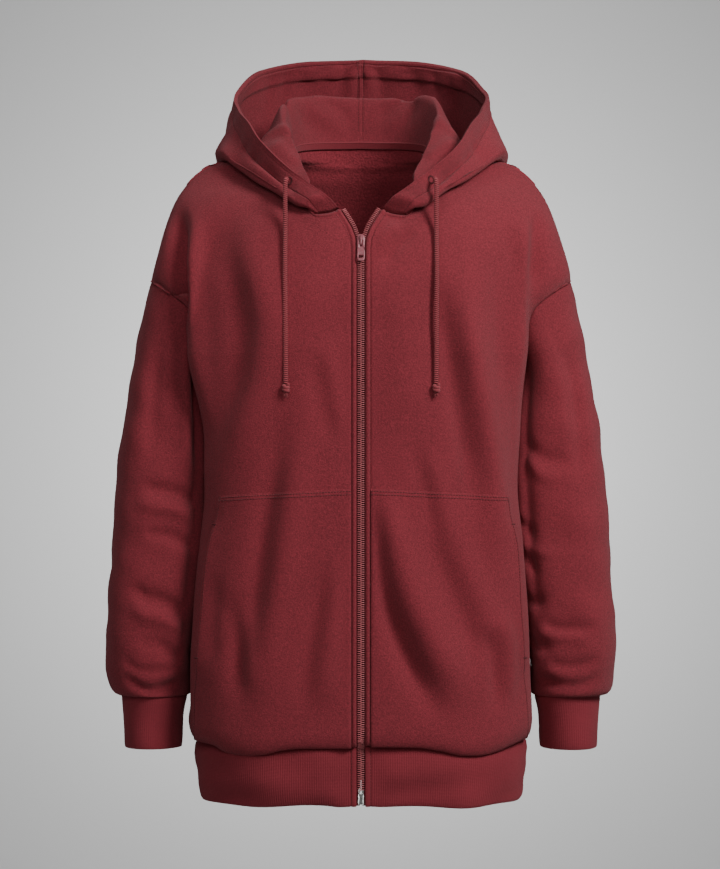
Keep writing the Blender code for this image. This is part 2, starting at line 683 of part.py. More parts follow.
def build_pockets(cloth):
    """Two flat patches that are the fronts' own points, moved out."""
    outer, n, _ = panel(0, 12)
    first = len(UPPER) + LOWER.index(19)
    last = len(UPPER) + LOWER.index(25)
    part = (slice(1, POCKET_COLUMN + 1), slice(first, last + 1))
    point, n = outer[part], n[part]
    far = point + n * (FLEECE + CLEAR)
    near = point + n * CLEAR
    wall("pocket_left", far, near, cloth)
    wall("pocket_right", flip(far, -1), flip(near, -1), cloth)


def zip_path():
    """Rows of the zip tape's front face at the zip edge and at the placket's stitch line."""
    outer, n, row = panel(0, 12)
    on = [k for k in range(outer.shape[1]) if row[0, k] <= ZIP_LAST]
    edge = outer[0, on] - n[0, on] * (FLEECE + CLEAR)
    far = outer[1, on] - n[1, on] * (FLEECE + CLEAR)
    far[0] = edge[0] + (far[0] - edge[0]) * PLACKET / (far[0, 0] - edge[0, 0])
    s = np.concatenate([[0.06, 0.3, 0.65], np.arange(1, 6, 0.5), np.arange(6, len(edge))])
    at = np.arange(len(edge))
    edge, far = [np.stack([np.interp(s, at, p[:, k]) for k in range(3)], -1) for p in (edge, far)]
    low = np.stack([0 * ZIP_HEM[:, 0] + ZIP_EDGE, ZIP_HEM[:, 1], ZIP_HEM[:, 0]], -1)
    edge = np.concatenate([edge, low])
    far = np.concatenate([far, low + np.array([PLACKET, 0, 0])])
    return edge, far


def tape_y(z):
    """Depth of the front face of the zip tape at a height."""
    edge, _ = zip_path()
    return float(np.interp(-z, -edge[:, 2], edge[:, 1]))


def build_zip(tape, teeth, metal, silver):
    """Two tapes with their closed rows of teeth, the slider, its pull tab and the bottom box."""
    edge, far = zip_path()
    grid = np.stack([edge - np.array([3.7, 0, 0]), edge, far])
    back = grid + np.array([0, TAPE, 0])
    wall("zip_tape_left", grid, back, tape)
    wall("zip_tape_right", flip(grid, -1), flip(back, -1), tape)
    line = edge[edge[:, 2] > -707]
    line = np.concatenate([line, [[ZIP_EDGE, tape_y(-706.5), -706.5]]])
    line = line[1:]
    front = np.stack([line - np.array([4.75, 2.8, 0]), line - np.array([1.8, 2.8, 0])])
    rear = front + np.array([0, 2.4, 0])
    wall("zip_chain_left", front, rear, teeth)
    wall("zip_chain_right", flip(front, -1), flip(rear, -1), teeth)
    build_slider(metal)
    y = tape_y(-714)
    blocks("zip_bottom_box", [-3.5, 3.5], [y - 3.5, y - 0.6], [-720.5, -707.5], {(0, 0, 0)}, silver)


def blocks(name, xs, ys, zs, filled, mat):
    """A solid made of the filled cells of a small box grid."""
    corners = {}
    verts = []
    faces = []

    def corner(i, j, k):
        if (i, j, k) not in corners:
            corners[(i, j, k)] = len(verts)
            verts.append((xs[i], ys[j], zs[k]))
        return corners[(i, j, k)]

    sides = [
        ((-1, 0, 0), ((0, 0, 0), (0, 0, 1), (0, 1, 1), (0, 1, 0))),
        ((1, 0, 0), ((1, 0, 0), (1, 1, 0), (1, 1, 1), (1, 0, 1))),
        ((0, -1, 0), ((0, 0, 0), (1, 0, 0), (1, 0, 1), (0, 0, 1))),
        ((0, 1, 0), ((0, 1, 0), (0, 1, 1), (1, 1, 1), (1, 1, 0))),
        ((0, 0, -1), ((0, 0, 0), (0, 1, 0), (1, 1, 0), (1, 0, 0))),
        ((0, 0, 1), ((0, 0, 1), (1, 0, 1), (1, 1, 1), (0, 1, 1))),
    ]
    for i, j, k in sorted(filled):
        for (a, b, c), ring in sides:
            if (i + a, j + b, k + c) not in filled:
                faces.append([corner(i + p, j + q, k + r) for p, q, r in ring])
    return add_mesh(name, verts, faces, mat)


def build_slider(metal):
    """The slider round both chains, with a bridge, and the pull tab that hangs from the bridge."""
    y = tape_y(SLIDER_Z)
    lean = float(np.arctan2(tape_y(SLIDER_Z + 6) - tape_y(SLIDER_Z - 6), 12))
    xs = [-4.4, -1.1, 1.1, 4.4]
    ys = [-HINGE_OUT - d for d in (2.1, 1.0, -1.0, -2.1)] + [1.9, 2.9]
    zs = [-8.5, -5.6, -4.2, 5.4, 6.8, 8.4]
    filled = {(i, j, k) for i in range(3) for j in (2, 4) for k in range(5)}
    filled |= {(1, 3, 3), (1, 3, 4), (1, 0, 1), (1, 0, 2), (1, 0, 3), (1, 1, 1), (1, 1, 3)}
    slider = blocks("zip_slider", xs, ys, zs, filled, metal)
    slider.location = (0, y * MM, SLIDER_Z * MM)
    slider.rotation_euler = (-lean, 0, 0)
    tx = [-4.5, -2.8, -1.6, 1.6, 2.8, 4.5]
    tz = [0.6 - PULL_LENGTH, 3.2 - PULL_LENGTH, 6.4 - PULL_LENGTH, -8.7, -0.6, 0.6]
    cells = {(i, 0, k) for i in range(5) for k in range(5)}
    cells -= {(1, 0, 1), (2, 0, 1), (3, 0, 1), (2, 0, 3)}
    tab = blocks("zip_pull_tab", tx, [-0.6, 0.6], tz, cells, metal)
    c, s = np.cos(lean), np.sin(lean)
    hinge = (0, y - HINGE_OUT * c + HINGE_UP * s, SLIDER_Z + HINGE_UP * c + HINGE_OUT * s)
    tab.location = tuple(float(v) * MM for v in hinge)
    tab.rotation_euler = (-lean, 0, 0)


def build_cords(cord_mat):
    """Two drawcords that hang from the casing, each with a knot near its end."""
    for name, sign in (("left", 1), ("right", -1)):
        data = bpy.data.curves.new("drawcord_" + name, "CURVE")
        data.dimensions = "3D"
        data.bevel_depth = CORD_RADIUS * MM
        data.bevel_resolution = 2
        data.use_fill_caps = True
        line = data.splines.new("POLY")
        line.points.add(len(CORD) - 1)
        for point, place in zip(line.points, flip(CORD, sign) * MM):
            point.co = (*place, 1)
        data.materials.append(cord_mat)
        obj = bpy.data.objects.new("drawcord_" + name, data)
        bpy.context.collection.objects.link(obj)
        angle = np.arange(12) * np.pi / 6
        centre = flip(CORD[-1], sign)
        ring = np.stack([np.cos(angle), np.sin(angle)], -1)
        verts = []
        for radius, z in KNOT:
            for c, t in ring:
                verts.append((centre[0] + radius * c, centre[1] - 1.9 + radius * t, z))
        faces = []
        for k in range(len(KNOT) - 1):
            for j in range(12):
                n = (j + 1) % 12
                faces.append([12 * k + j, 12 * k + n, 12 * k + 12 + n, 12 * k + 12 + j])
        faces.append(list(range(12)))
        faces.append([12 * (len(KNOT) - 1) + j for j in range(12)])
        add_mesh("drawcord_knot_" + name, verts, faces, cord_mat)


def build_neck_tape(tape):
    """A strip over the neck seam inside the back, made from the back's own inner points."""
    outer, inner = back_wall()
    deep = unit(inner[:8] - outer[:8])
    share = (0.16, 0.54, 0.94)
    way = np.stack([deep[:, 0] * (1 - f) + deep[:, 1] * f for f in share], 1)
    grid = np.stack([inner[:8, 0] * (1 - f) + inner[:8, 1] * f for f in share], 1)
    lift = np.array([2, 2, 2, 2, 2, 2, 2.6, 3.4])[:, None, None]
    grid = grid + way * lift * CLEAR
    far = grid + way * TAPE
    grid = np.concatenate([flip(grid[::-1], -1)[:-1], grid])
    far = np.concatenate([flip(far[::-1], -1)[:-1], far])
    wall("neck_tape", grid, far, tape)


def main():
    for obj in list(bpy.data.objects):
        bpy.data.objects.remove(obj)
    cloth = material("fleece", (0.20, 0.025, 0.035), 0.95)
    rib = material("rib", (0.18, 0.02, 0.03), 0.95)
    tape = material("tape", (0.22, 0.03, 0.045), 0.8)
    cord = material("cord", (0.24, 0.035, 0.05), 0.9)
    teeth = material("teeth", (0.35, 0.09, 0.11), 0.45)
    metal = material("painted_metal", (0.33, 0.08, 0.10), 0.35, 0.6)
    silver = material("silver_metal", (0.75, 0.75, 0.75), 0.3, 1.0)
    build_body(cloth)
    build_hood(cloth)
    build_sleeves(cloth)
    build_cuffs(rib)
    build_hem(rib)
    build_pockets(cloth)
    build_neck_tape(tape)
    build_zip(tape, teeth, metal, silver)
    build_cords(cord)


main()
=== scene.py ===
"""Long zip up hoodie in burgundy sweatshirt fleece, filled out as if worn.

Tables are in millimetres, with +X to the wearer's left, the front to -Y and +Z up, and meshes are in
metres. Every cloth is a closed thin shell: a grid of outer points worked out from the tables, moved
along its normals by the folds, and a second grid one thickness inside.
"""

import math

import bpy
import numpy as np
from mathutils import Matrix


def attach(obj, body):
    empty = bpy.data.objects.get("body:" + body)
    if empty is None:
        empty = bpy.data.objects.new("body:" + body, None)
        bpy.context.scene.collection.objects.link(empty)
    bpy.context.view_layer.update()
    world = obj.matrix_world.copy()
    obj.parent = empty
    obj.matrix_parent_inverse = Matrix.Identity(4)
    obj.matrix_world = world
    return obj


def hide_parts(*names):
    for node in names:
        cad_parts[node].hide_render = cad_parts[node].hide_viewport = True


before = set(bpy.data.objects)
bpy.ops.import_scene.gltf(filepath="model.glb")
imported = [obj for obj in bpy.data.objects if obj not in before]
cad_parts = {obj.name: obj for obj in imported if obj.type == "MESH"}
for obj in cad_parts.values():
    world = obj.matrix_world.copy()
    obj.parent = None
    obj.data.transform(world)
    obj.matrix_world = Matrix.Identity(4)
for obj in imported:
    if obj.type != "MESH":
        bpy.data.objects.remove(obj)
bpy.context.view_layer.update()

MM = 0.001
SIDES = (("left", 1), ("right", -1))
# Thickness of the fleece, the rib, the woven tapes and the turned casing of the hood
FLEECE, RIB, TAPE, CASING = 2.2, 2.4, 0.8, 4.6
RIM = 0.32  # how far the rim of a cloth bulges, as a share of its thickness
SEAM_SINK = (1.1, 1.8)  # how deep a sewn edge rolls in, and how far from the edge
CENTRE_Y = 8.0  # middle of the body from front to back
CENTRE = (0, CENTRE_Y, 0)
CAP = 74.0  # depth of a section at which the cap of the shoulder begins
ZIP_HALF = 4.9  # from the middle to the zip edge below the neck
PLACKET = 5.6  # from the zip edge to the stitch line of its facing
SEW = 5  # which line of a grid's close edge lines its stitches follow, 4.6 mm in

# Horizontal sections of the body: height, half width at the side, half width of the trunk, depth of
# the front, depth of the back, squareness, half gap of the armhole, hollow at the sleeve
BODY = np.array([
    (40, 81, 81, 20, 72, 2.00, 0, 0),
    (31, 83, 83, 22, 76, 2.00, 0, 0),
    (24, 84, 84, 24, 79, 2.00, 0, 0),
    (12, 89, 89, 30, 84, 1.90, 0, 0),
    (7, 130, 130, 38, 86, 1.50, 0, 0),
    (1, 170, 170, 45, 90, 1.38, 0, 0),
    (-9, 187, 187, 54, 95, 1.36, 0, 0),
    (-24, 202, 202, 68, 103, 1.50, 0, 0),
    (-40, 213, 210, 84, 110, 1.70, 0, 0),
    (-68, 224.5, 210, 105, 118, 2.00, 0, 0),
    (-100, 233.5, 203, 118, 124, 2.30, 0, 0),
    (-133, 241.5, 199, 125.2, 126.3, 2.60, 0, 0),
    (-137, 239, 198.5, 125.9, 126.6, 2.63, 27, 0),
    (-148, 226, 197, 127.3, 127.5, 2.70, 47, 0),
    (-170, 203, 195, 129, 129, 2.80, 57, 4),
    (-195, 193.5, 193.5, 130, 130, 2.90, 50, 11),
    (-214, 192.5, 192.5, 131, 130, 2.96, 28, 17),
    (-222, 192, 192, 131, 130, 3.00, 0, 22),
    (-300, 189, 189, 131, 129, 3.00, 0, 23),
    (-370, 186, 186, 132, 126, 3.00, 0, 20),
    (-432, 191, 191, 132, 124, 3.00, 0, 20),
    (-508, 198.5, 198.5, 132, 123, 3.00, 0, 19),
    (-573, 202, 202, 133, 122, 2.90, 0, 13),
    (-640, 201, 201, 134, 122, 2.80, 0, 4),
    (-656, 197, 197, 132, 120, 2.75, 0, 2),
    (-661, 192, 192, 128, 116, 2.70, 0, 0),
    (-657, 187, 187, 125, 113, 2.70, 0, 0),
], float)
SHOULDER, TIP, ARMPIT, HEM_SEAM = 3, 11, 17, 26

# Neck seam of the front and of the back: distance from the middle, height
FRONT_NECK = np.array([
    (24, -58), (38, -63), (50, -64), (64, -54), (76, -37), (85, -13), (89, 12),
], float)
BACK_NECK = np.array([(0, 31), (43, 29), (72, 24), (84, 17), (89, 12)], float)
# Zip edge of a front: height, distance from the middle
ZIP_LINE = np.array([(-58, 24), (-68, 17.5), (-80, 10.5), (-92, 6.2), (-104, 4.9)], float)
# Outer edge of a pocket: height, distance from the middle
POCKET = np.array([
    (-362, 155), (-372, 156.5), (-399, 161), (-435, 169), (-480, 175), (-524, 179), (-567, 183),
    (-600, 187.5), (-650, 188.5),
], float)

# The hood from its front end round to the middle of the back: azimuth of the wall and of the rim, then
# distance from the neck axis and height of the crest of the roll, back of the roll, lowest fold,
# belly, casing seam and rim
HOOD = np.array([
    (29.5, 15, 0, 0, 0, 0, 0, 0, 0, 0, 0, 0, 0, 0),
    (33, 21, 106.5, -58.5, 109.5, -57.8, 113, -58, 116, -55, 116.5, -48.5, 107.5, -43.5),
    (38, 28, 98, -43, 105, -48, 115.5, -56, 119.5, -51, 116.5, -42.5, 109, -34.5),
    (43, 35, 87, -22, 101, -36, 117, -50, 121, -44.5, 116, -37, 110.5, -25),
    (54, 45, 80, -8, 98, -20, 118.5, -39, 125, -31.5, 116.5, -26, 114, -12),
    (66, 54.5, 77, 8, 99, -2, 125.5, -27, 133.5, -17, 122, -10, 119.5, 3.5),
    (79, 65, 80, 29, 109, 17, 136, -12, 146, -1.5, 130, 8, 125, 21),
    (92, 80, 88, 47, 114, 25, 156, 5, 164, 15.5, 142, 36, 131, 47),
    (106, 98, 94, 66, 119, 26, 167, -5, 177, 15, 155, 57.5, 144, 67),
    (121, 116, 99, 80, 122, 18, 164, -25, 183, 15, 171, 79, 164, 93.5),
    (137, 134, 101, 85, 120, 10, 162, -55, 184, 0, 173, 102, 169, 124.5),
    (158, 157, 98, 86.5, 113, 2, 158, -88, 180, -10, 164, 117, 156.5, 139.5),
    (180, 180, 96, 87, 112, 0, 153, -100, 176, -15, 154, 120, 151, 142.5),
], float)
# How far each line of the table has turned from the azimuth of the wall to that of the rim
LEAN = np.array([0, 0.02, 0.05, 0.1, 0.15, 0.2, 1])
# Places between neck seam 0 and rim 6: the casing's seam, and the two stitch lines of the hood's edge
CASING_V = 5.0
EDGE_LINES = (5.78, 5.88)

# The sleeve: centre across, front to back and in height, half width, half depth, tilt of the loop
SLEEVE = np.array([
    (210, 8, -178, 53, 54, 55),
    (214, 8, -206, 52, 54, 47),
    (218, 8, -242, 51, 54, 36),
    (221, 5, -288, 50.5, 54, 22),
    (225.5, 2, -345, 54, 55, 10),
    (230.5, -2, -430, 55, 56, 3),
    (237, -4, -494, 53.3, 56, 0),
    (242, -4, -540, 50, 55, 0),
    (243.4, -4, -572, 48.6, 53.4, 0),
    (242.2, -3.5, -588, 47.9, 52.4, 0),
    (241, -3, -599, 46.6, 51, 0),
    (239.4, -3, -605.5, 44, 48.6, 0),
    (237.8, -3, -607.5, 41, 46.4, 0),
], float)
# The cuff: height, centre across, half width, half depth
CUFF = np.array([
    (-602, 236.4, 38, 43.8), (-610, 236.4, 37.4, 43.4), (-619, 237, 36, 42), (-630, 237.8, 34.6, 40.6),
    (-643, 238.4, 33.8, 39.6), (-656, 238.8, 33.4, 39), (-664, 239, 33, 38.4), (-667.5, 239, 32.4, 37.6),
], float)
CUFF_Y = -3.0  # middle of the cuff from front to back
# The hem rib: height, half width, front depth, back depth
HEM = np.array([
    (-649, 184.2, 122.2, 110.4), (-662, 185.6, 123.8, 111.8), (-690, 185, 123.5, 111.6),
    (-710, 184, 122.8, 111), (-719, 183.2, 122.2, 110.6), (-722, 181.8, 121, 109.6),
], float)
# The zip tape below the blouse of the cloth: height, depth of its front face
ZIP_HEM = np.array([
    (-648, -120.6), (-654, -115), (-657, -112.5), (-668, -112.5), (-690, -112.1),
    (-710, -111.4), (-721, -110.7),
], float)
# The slider: its middle, its lean back from upright, and the pull tab's hinge above and in front of it
SLIDER_AT = np.array([0, -106.385, -97.0])
SLIDER_LEAN = 0.3011
HINGE_UP, HINGE_OUT = 2.5, 5.15
TOOTH_PITCH = 2.4
# A drawcord: radius, points round it and along it, turns of its winding in a millimetre, depth of the
# winding as a share of the radius, and the way round it on its cloth map
CORD_RADIUS, CORD_SIDES, CORD_POINTS = 2.2, 14, 620
CORD_TWIST, CORD_GRAIN, CORD_ROUND = 0.45, 0.24, 14.0
# The drawcord on the wearer's left
CORD = np.array([
    (83, -90.2, -25), (83.6, -94.2, -26.6), (84, -96.6, -31), (84.2, -97.6, -38), (84.2, -98.6, -50),
    (84, -99.6, -65), (84, -101.6, -80), (84, -107.4, -100), (84, -115.2, -130), (83.6, -120, -170),
    (83.2, -122.5, -215), (83, -122.9, -254),
], float)

# Folds of the fronts: width, height (a trough is negative), then points across and up
FRONT_FOLDS = [
    (19, -7.5, (-160, -40), (-149, -106), (-139, -150), (-132, -194), (-137, -240), (-160, -310),
     (-170, -360)),
    (24, 7.0, (-132, -52), (-128, -106), (-115, -150), (-107, -194), (-112, -240), (-136, -310),
     (-146, -360)),
    (15, -7.5, (-86, -250), (-95, -345), (-106, -415), (-115, -486), (-130, -560), (-134, -645)),
    (18, 6.5, (-66, -262), (-72, -345), (-82, -415), (-92, -486), (-105, -560), (-112, -640)),
    (12, -2.4, (-58, -210), (-44, -270), (-26, -330)),
    (12, 2.4, (-42, -200), (-28, -262), (-14, -320)),
    (12, -4.4, (-36, -440), (-54, -539), (-68, -625)),
    (14, 4.2, (-18, -430), (-34, -539), (-46, -620)),
    (10, -3.4, (-158, -460), (-164, -520), (-162, -580)),
    (11, -4.4, (-144, -480), (-141, -539), (-136, -605)),
    (10, 4.4, (-128, -490), (-124, -545), (-119, -606)),
    (15, -8.5, (80, -110), (92, -176), (103, -238), (114, -300), (124, -350), (136, -430)),
    (18, 13.0, (106, -112), (114, -177), (124, -238), (134, -300), (144, -360), (155, -430), (170, -510)),
    (14, -4.5, (150, -90), (154, -180), (160, -270)),
    (14, -11.5, (4, -392), (12, -422), (24, -480), (44, -536), (68, -586), (96, -636)),
    (23, 14.0, (14, -360), (28, -404), (52, -484), (74, -530), (96, -574), (124, -626)),
    (16, -4.4, (66, -396), (92, -460), (118, -520), (140, -580)),
    (16, 4.4, (92, -400), (116, -460), (140, -520), (156, -580)),
    (9, -4.6, (134, -520), (148, -560), (152, -625)),
    (9, 4.8, (150, -500), (163, -550), (165, -615)),
    (8, 4.4, (46, -72), (28, -90), (12, -112)),
    (8, -4.6, (62, -80), (36, -104), (18, -128)),
    (10, -2.8, (54, -310), (72, -372), (84, -436)),
    (12, 2.8, (70, -318), (88, -380), (100, -436)),
    (22, 3.0, (-46, -110), (-62, -200), (-74, -320)),
    (22, 3.0, (44, -130), (50, -220), (60, -320)),
    (9, 13.0, (-186, -52), (-187, -110), (-184, -170), (-180, -230), (-172, -320)),
    (9, -15.0, (-207, -30), (-206, -90), (-202, -150), (-199, -205)),
    (9, 9.0, (185, -56), (181, -110), (178, -190), (172, -300)),
    (8, -8.0, (201, -48), (198, -100), (195, -152)),
]
# How far the blouse of the cloth over the hem hangs below its level: across, height, left to right
BLOUSE = np.array([
    (-205, 6), (-185, 6), (-166, 5), (-150, -2), (-128, -4.5), (-108, -2.5), (-85, 3), (-60, 5), (-9, 5),
    (9, 6.5), (60, 6), (88, 2), (112, -3.5), (130, -4.5), (152, -1), (168, 4), (185, 8), (205, 8),
], float)
BLOUSE_BACK = np.array([
    (-205, 6), (-185, 6), (-160, -1), (-125, -5), (-80, 1), (-30, -2), (25, 2), (70, -3), (115, 0), (150, -5),
    (175, 3), (185, 8), (205, 8),
], float)
# Folds of the back, as uneven as those of the fronts
BACK_FOLDS = [
    (17, -6.0, (118, -60), (126, -170), (112, -300), (128, -430)),
    (15, -5.4, (-124, -50), (-112, -150), (-128, -290), (-118, -400)),
    (18, 4.8, (90, -200), (84, -320), (96, -470), (120, -600)),
    (16, -5.1, (60, -330), (72, -470), (62, -620)),
    (18, 4.5, (-82, -240), (-92, -380), (-84, -540)),
    (14, -4.8, (-56, -380), (-70, -500), (-88, -630)),
    (13, -3.9, (10, -420), (2, -520), (16, -640)),
    (16, 3.6, (-20, -300), (-28, -420), (-16, -560)),
    (12, -4.2, (150, -470), (160, -560), (150, -640)),
    (12, -3.9, (-152, -430), (-162, -540), (-148, -636)),
    (22, -3.9, (-90, -130), (0, -158), (84, -126)),
    (11, 3.9, (34, -560), (40, -610), (52, -648)),
]
# Folds of the sleeves: width, height, then angle round the sleeve in degrees, from the outside to the
# front at 90, and height
SLEEVE_LEFT_FOLDS = [
    (14, -7.0, (128, -170), (126, -300), (124, -420), (126, -570)),
    (10, 4.5, (98, -180), (90, -255), (86, -330)),
    (11, -4.1, (66, -200), (62, -290), (70, -380)),
    (7, -4.1, (132, -312), (105, -330), (78, -350)),
    (6, 3.1, (130, -332), (108, -350), (84, -368)),
    (7, -4.8, (168, -400), (140, -414), (104, -424)),
    (7, -4.8, (165, -442), (138, -452), (108, -470)),
    (6, 3.1, (150, -432), (122, -440), (88, -446)),
    (7, -5.1, (168, -488), (140, -500), (100, -496)),
    (6, -3.5, (120, -520), (92, -530), (60, -524)),
    (7, -5.0, (165, -542), (138, -553), (98, -548)),
    (6, 3.1, (140, -530), (108, -536), (70, -540)),
    (6, -4.8, (160, -576), (130, -590), (85, -594), (48, -580)),
    (5, -3.1, (120, -566), (92, -572), (58, -562)),
    (7, -4.5, (200, -360), (230, -376), (262, -370)),
    (7, -4.8, (196, -420), (228, -432), (270, -424)),
    (7, -5.1, (200, -476), (236, -492), (280, -486)),
    (7, -4.8, (196, -532), (232, -546), (276, -536)),
    (6, -4.5, (210, -580), (250, -594), (300, -584)),
    (12, 4.5, (270, -190), (276, -280), (268, -360)),
    (10, -4.1, (300, -220), (312, -310), (306, -400)),
    (8, -3.7, (20, -420), (6, -470), (18, -520)),
    (7, -3.7, (330, -560), (355, -574), (20, -566)),
]
SLEEVE_RIGHT_FOLDS = [
    (13, -5.0, (130, -180), (128, -300), (126, -420), (128, -560)),
    (10, 5.7, (108, -170), (109, -270), (103, -362)),
    (10, -4.4, (134, -200), (132, -290), (126, -352)),
    (11, -5.3, (72, -190), (76, -280), (84, -356)),
    (7, -5.3, (66, -364), (100, -376), (132, -388)),
    (6, 3.2, (60, -384), (92, -394), (126, -406)),
    (6, -4.4, (76, -416), (102, -428), (134, -442)),
    (7, -5.9, (62, -478), (95, -498), (130, -514)),
    (6, 4.1, (66, -500), (98, -520), (134, -532)),
    (7, -4.8, (84, -538), (112, -556), (144, -562)),
    (6, -5.7, (52, -580), (95, -600), (146, -588)),
    (5, -3.7, (58, -562), (92, -577), (140, -568)),
    (7, -5.3, (210, -350), (238, -366), (272, -358)),
    (7, -5.7, (200, -410), (236, -424), (276, -414)),
    (7, -6.0, (196, -468), (230, -482), (268, -474)),
    (7, -5.3, (204, -524), (240, -540), (284, -530)),
    (6, -5.3, (200, -576), (244, -592), (296, -582)),
    (12, 4.8, (264, -200), (272, -300), (266, -380)),
    (10, -4.8, (304, -200), (310, -290), (300, -380)),
    (8, -4.8, (14, -440), (2, -490), (16, -540)),
    (7, -4.1, (334, -552), (358, -568), (24, -560)),
]
# Folds of the hood: width, height, then place along the neck from its front end and up the cloth from
# the neck seam, in thirtieths of the table's steps
HOOD_LEFT_FOLDS = [
    (12, -4.9, (110, 118), (160, 124), (215, 132)),
    (9, 3.4, (90, 136), (140, 140), (190, 146)),
    (12, -5.6, (250, 100), (262, 122), (268, 146)),
    (13, -4.5, (330, 92), (322, 118), (330, 145)),
    (9, -4.1, (204, 20), (214, 40), (210, 62)),
    (10, 3.8, (300, 10), (310, 30), (296, 52)),
    (7, -3.4, (140, 44), (170, 52), (200, 58)),
    (7, -3.4, (262, 40), (290, 30), (316, 36)),
    (6, -2.8, (330, 148), (336, 160), (334, 172)),
    (6, -2.5, (300, 150), (304, 162), (302, 174)),
    (4, -2.2, (338, 6), (318, 14), (298, 26)),
    (4, 1.8, (346, 14), (330, 20), (314, 28)),
]
HOOD_RIGHT_FOLDS = [
    (12, -4.5, (96, 122), (150, 120), (205, 128)),
    (9, 3.4, (100, 140), (150, 138), (200, 144)),
    (12, -5.2, (236, 98), (244, 122), (256, 146)),
    (13, -4.9, (316, 96), (312, 118), (306, 144)),
    (9, -4.5, (190, 26), (204, 44), (214, 64)),
    (8, 3.4, (250, 12), (262, 34), (258, 54)),
    (7, -3.8, (296, 44), (320, 34), (344, 44)),
    (7, -3.0, (130, 40), (160, 50), (190, 52)),
    (6, -3.0, (326, 150), (330, 160), (328, 172)),
    (6, -2.6, (344, 150), (346, 160), (348, 172)),
    (5, -2.6, (350, 5), (326, 12), (296, 25)),
    (5, 2.2, (340, 2), (308, 8), (276, 18)),
    (4, 1.6, (352, 14), (336, 20), (318, 28)),
]


def cubic(a, b, slope_a, slope_b, s, wide=1):
    """The cubic between two values, a width apart, that has a given slope at each; s is the share."""
    return (
        a * (1 + 2 * s) * (1 - s) ** 2
        + slope_a * wide * s * (1 - s) ** 2
        + b * s * s * (3 - 2 * s)
        + slope_b * wide * s * s * (s - 1)
    )


def curve(knots, values, at):
    """Smooth curve through the values at the knots that never overshoots them.

    Cubics meet at the knots with one slope: the weighted harmonic mean of the rises on both sides, or
    0 where the values turn.
    """
    knots = np.asarray(knots, float)
    values = np.asarray(values, float)
    at = np.clip(at, knots[0], knots[-1])
    step = np.diff(knots)
    rise = np.diff(values) / step
    same = rise[:-1] * rise[1:] > 0
    before = 2 * step[1:] + step[:-1]
    after = step[1:] + 2 * step[:-1]
    safe_a = np.where(same, rise[:-1], 1)
    safe_b = np.where(same, rise[1:], 1)
    mean = np.where(same, (before + after) / (before / safe_a + after / safe_b), 0)
    slope = np.concatenate([rise[:1], mean, rise[-1:]])
    i = np.clip(np.searchsorted(knots, at, side="right") - 1, 0, len(step) - 1)
    return cubic(values[i], values[i + 1], slope[i], slope[i + 1], (at - knots[i]) / step[i], step[i])


def curve_each(values, at):
    """The same curve where every point has its own values, stacked first, at whole-number knots."""
    rise = np.diff(values, axis=0)
    same = rise[:-1] * rise[1:] > 0
    mean = np.where(same, 2 / (1 / np.where(same, rise[:-1], 1) + 1 / np.where(same, rise[1:], 1)), 0)
    slope = np.concatenate([rise[:1], mean, rise[-1:]])
    i = np.clip(np.floor(at).astype(int), 0, len(values) - 2)

    def pick(table, index):
        return np.take_along_axis(table, index[None], 0)[0]

    s = np.clip(at, 0, len(values) - 1) - i
    return cubic(pick(values, i), pick(values, i + 1), pick(slope, i), pick(slope, i + 1), s)


def table_at(table, at):
    """Every column of a table at row numbers, as smooth curves through its rows."""
    return [curve(np.arange(len(table)), column, at) for column in table.T]


def ease(x):
    """Smooth step from 0 to 1."""
    x = np.clip(x, 0, 1)
    return x * x * (3 - 2 * x)


def above(z, height, reach):
    """Smooth step from 0 at a height to 1 a reach above it."""
    return ease((z - height) / reach)


def below(z, height, reach):
    """Smooth step from 0 at a height to 1 a reach below it."""
    return ease((height - z) / reach)


def bell(x, middle, wide):
    """A bell of height 1: e to minus the square of the distance from its middle, in widths."""
    return np.exp(-(((x - middle) / wide) ** 2))


def power_of(x, power):
    """The size of x to a power, with the sign of x."""
    return np.sign(x) * np.abs(x) ** power


def circle(count):
    """Angles evenly round a circle."""
    return np.arange(count) / count * 2 * np.pi


def unit(v):
    """Vectors at length 1."""
    return v / np.maximum(np.linalg.norm(v, axis=-1, keepdims=True), 1e-12)


def flip(points, sign):
    """Mirror points to the wearer's right for sign -1."""
    return points * np.array([sign, 1, 1])


def both_halves(half):
    """A grid from side to side, made from its half on the wearer's left."""
    return np.concatenate([flip(half[::-1], -1)[:-1], half])


def lengths(points, axis=0):
    """Distance to each point from the first, along a line of points or one way of a grid."""
    step = np.linalg.norm(np.diff(points, axis=axis), axis=-1)
    return np.concatenate([np.zeros_like(step.take([0], axis)), np.cumsum(step, axis=axis)], axis)


def spread(length, step, first=True, last=True):
    """Stations along a length, about a step apart and closer at the ends that are asked for."""
    near = np.array([0, 0.5, 1.1, 1.9, 3.0, 4.6])
    a = near if first else near[:1]
    b = length - near[::-1] if last else np.array([length])
    middle = np.linspace(a[-1], b[0], max(2, int(round((b[0] - a[-1]) / step)) + 1))
    return np.concatenate([a[:-1], middle, b[1:]])


def values_at(at, s, points):
    """Rows of a table at distances along it, s being the distance of each row."""
    return np.stack([np.interp(at, s, points[:, k]) for k in range(points.shape[1])], -1)


def resample(line, at):
    """Points of a line at distances along it."""
    return values_at(at, lengths(line), line)


def smooth_line(points, count):
    """A soft curve through a few points, at evenly spaced parameters."""
    points = np.asarray(points, float)
    return np.stack(table_at(points, np.linspace(0, len(points) - 1, count)), -1)


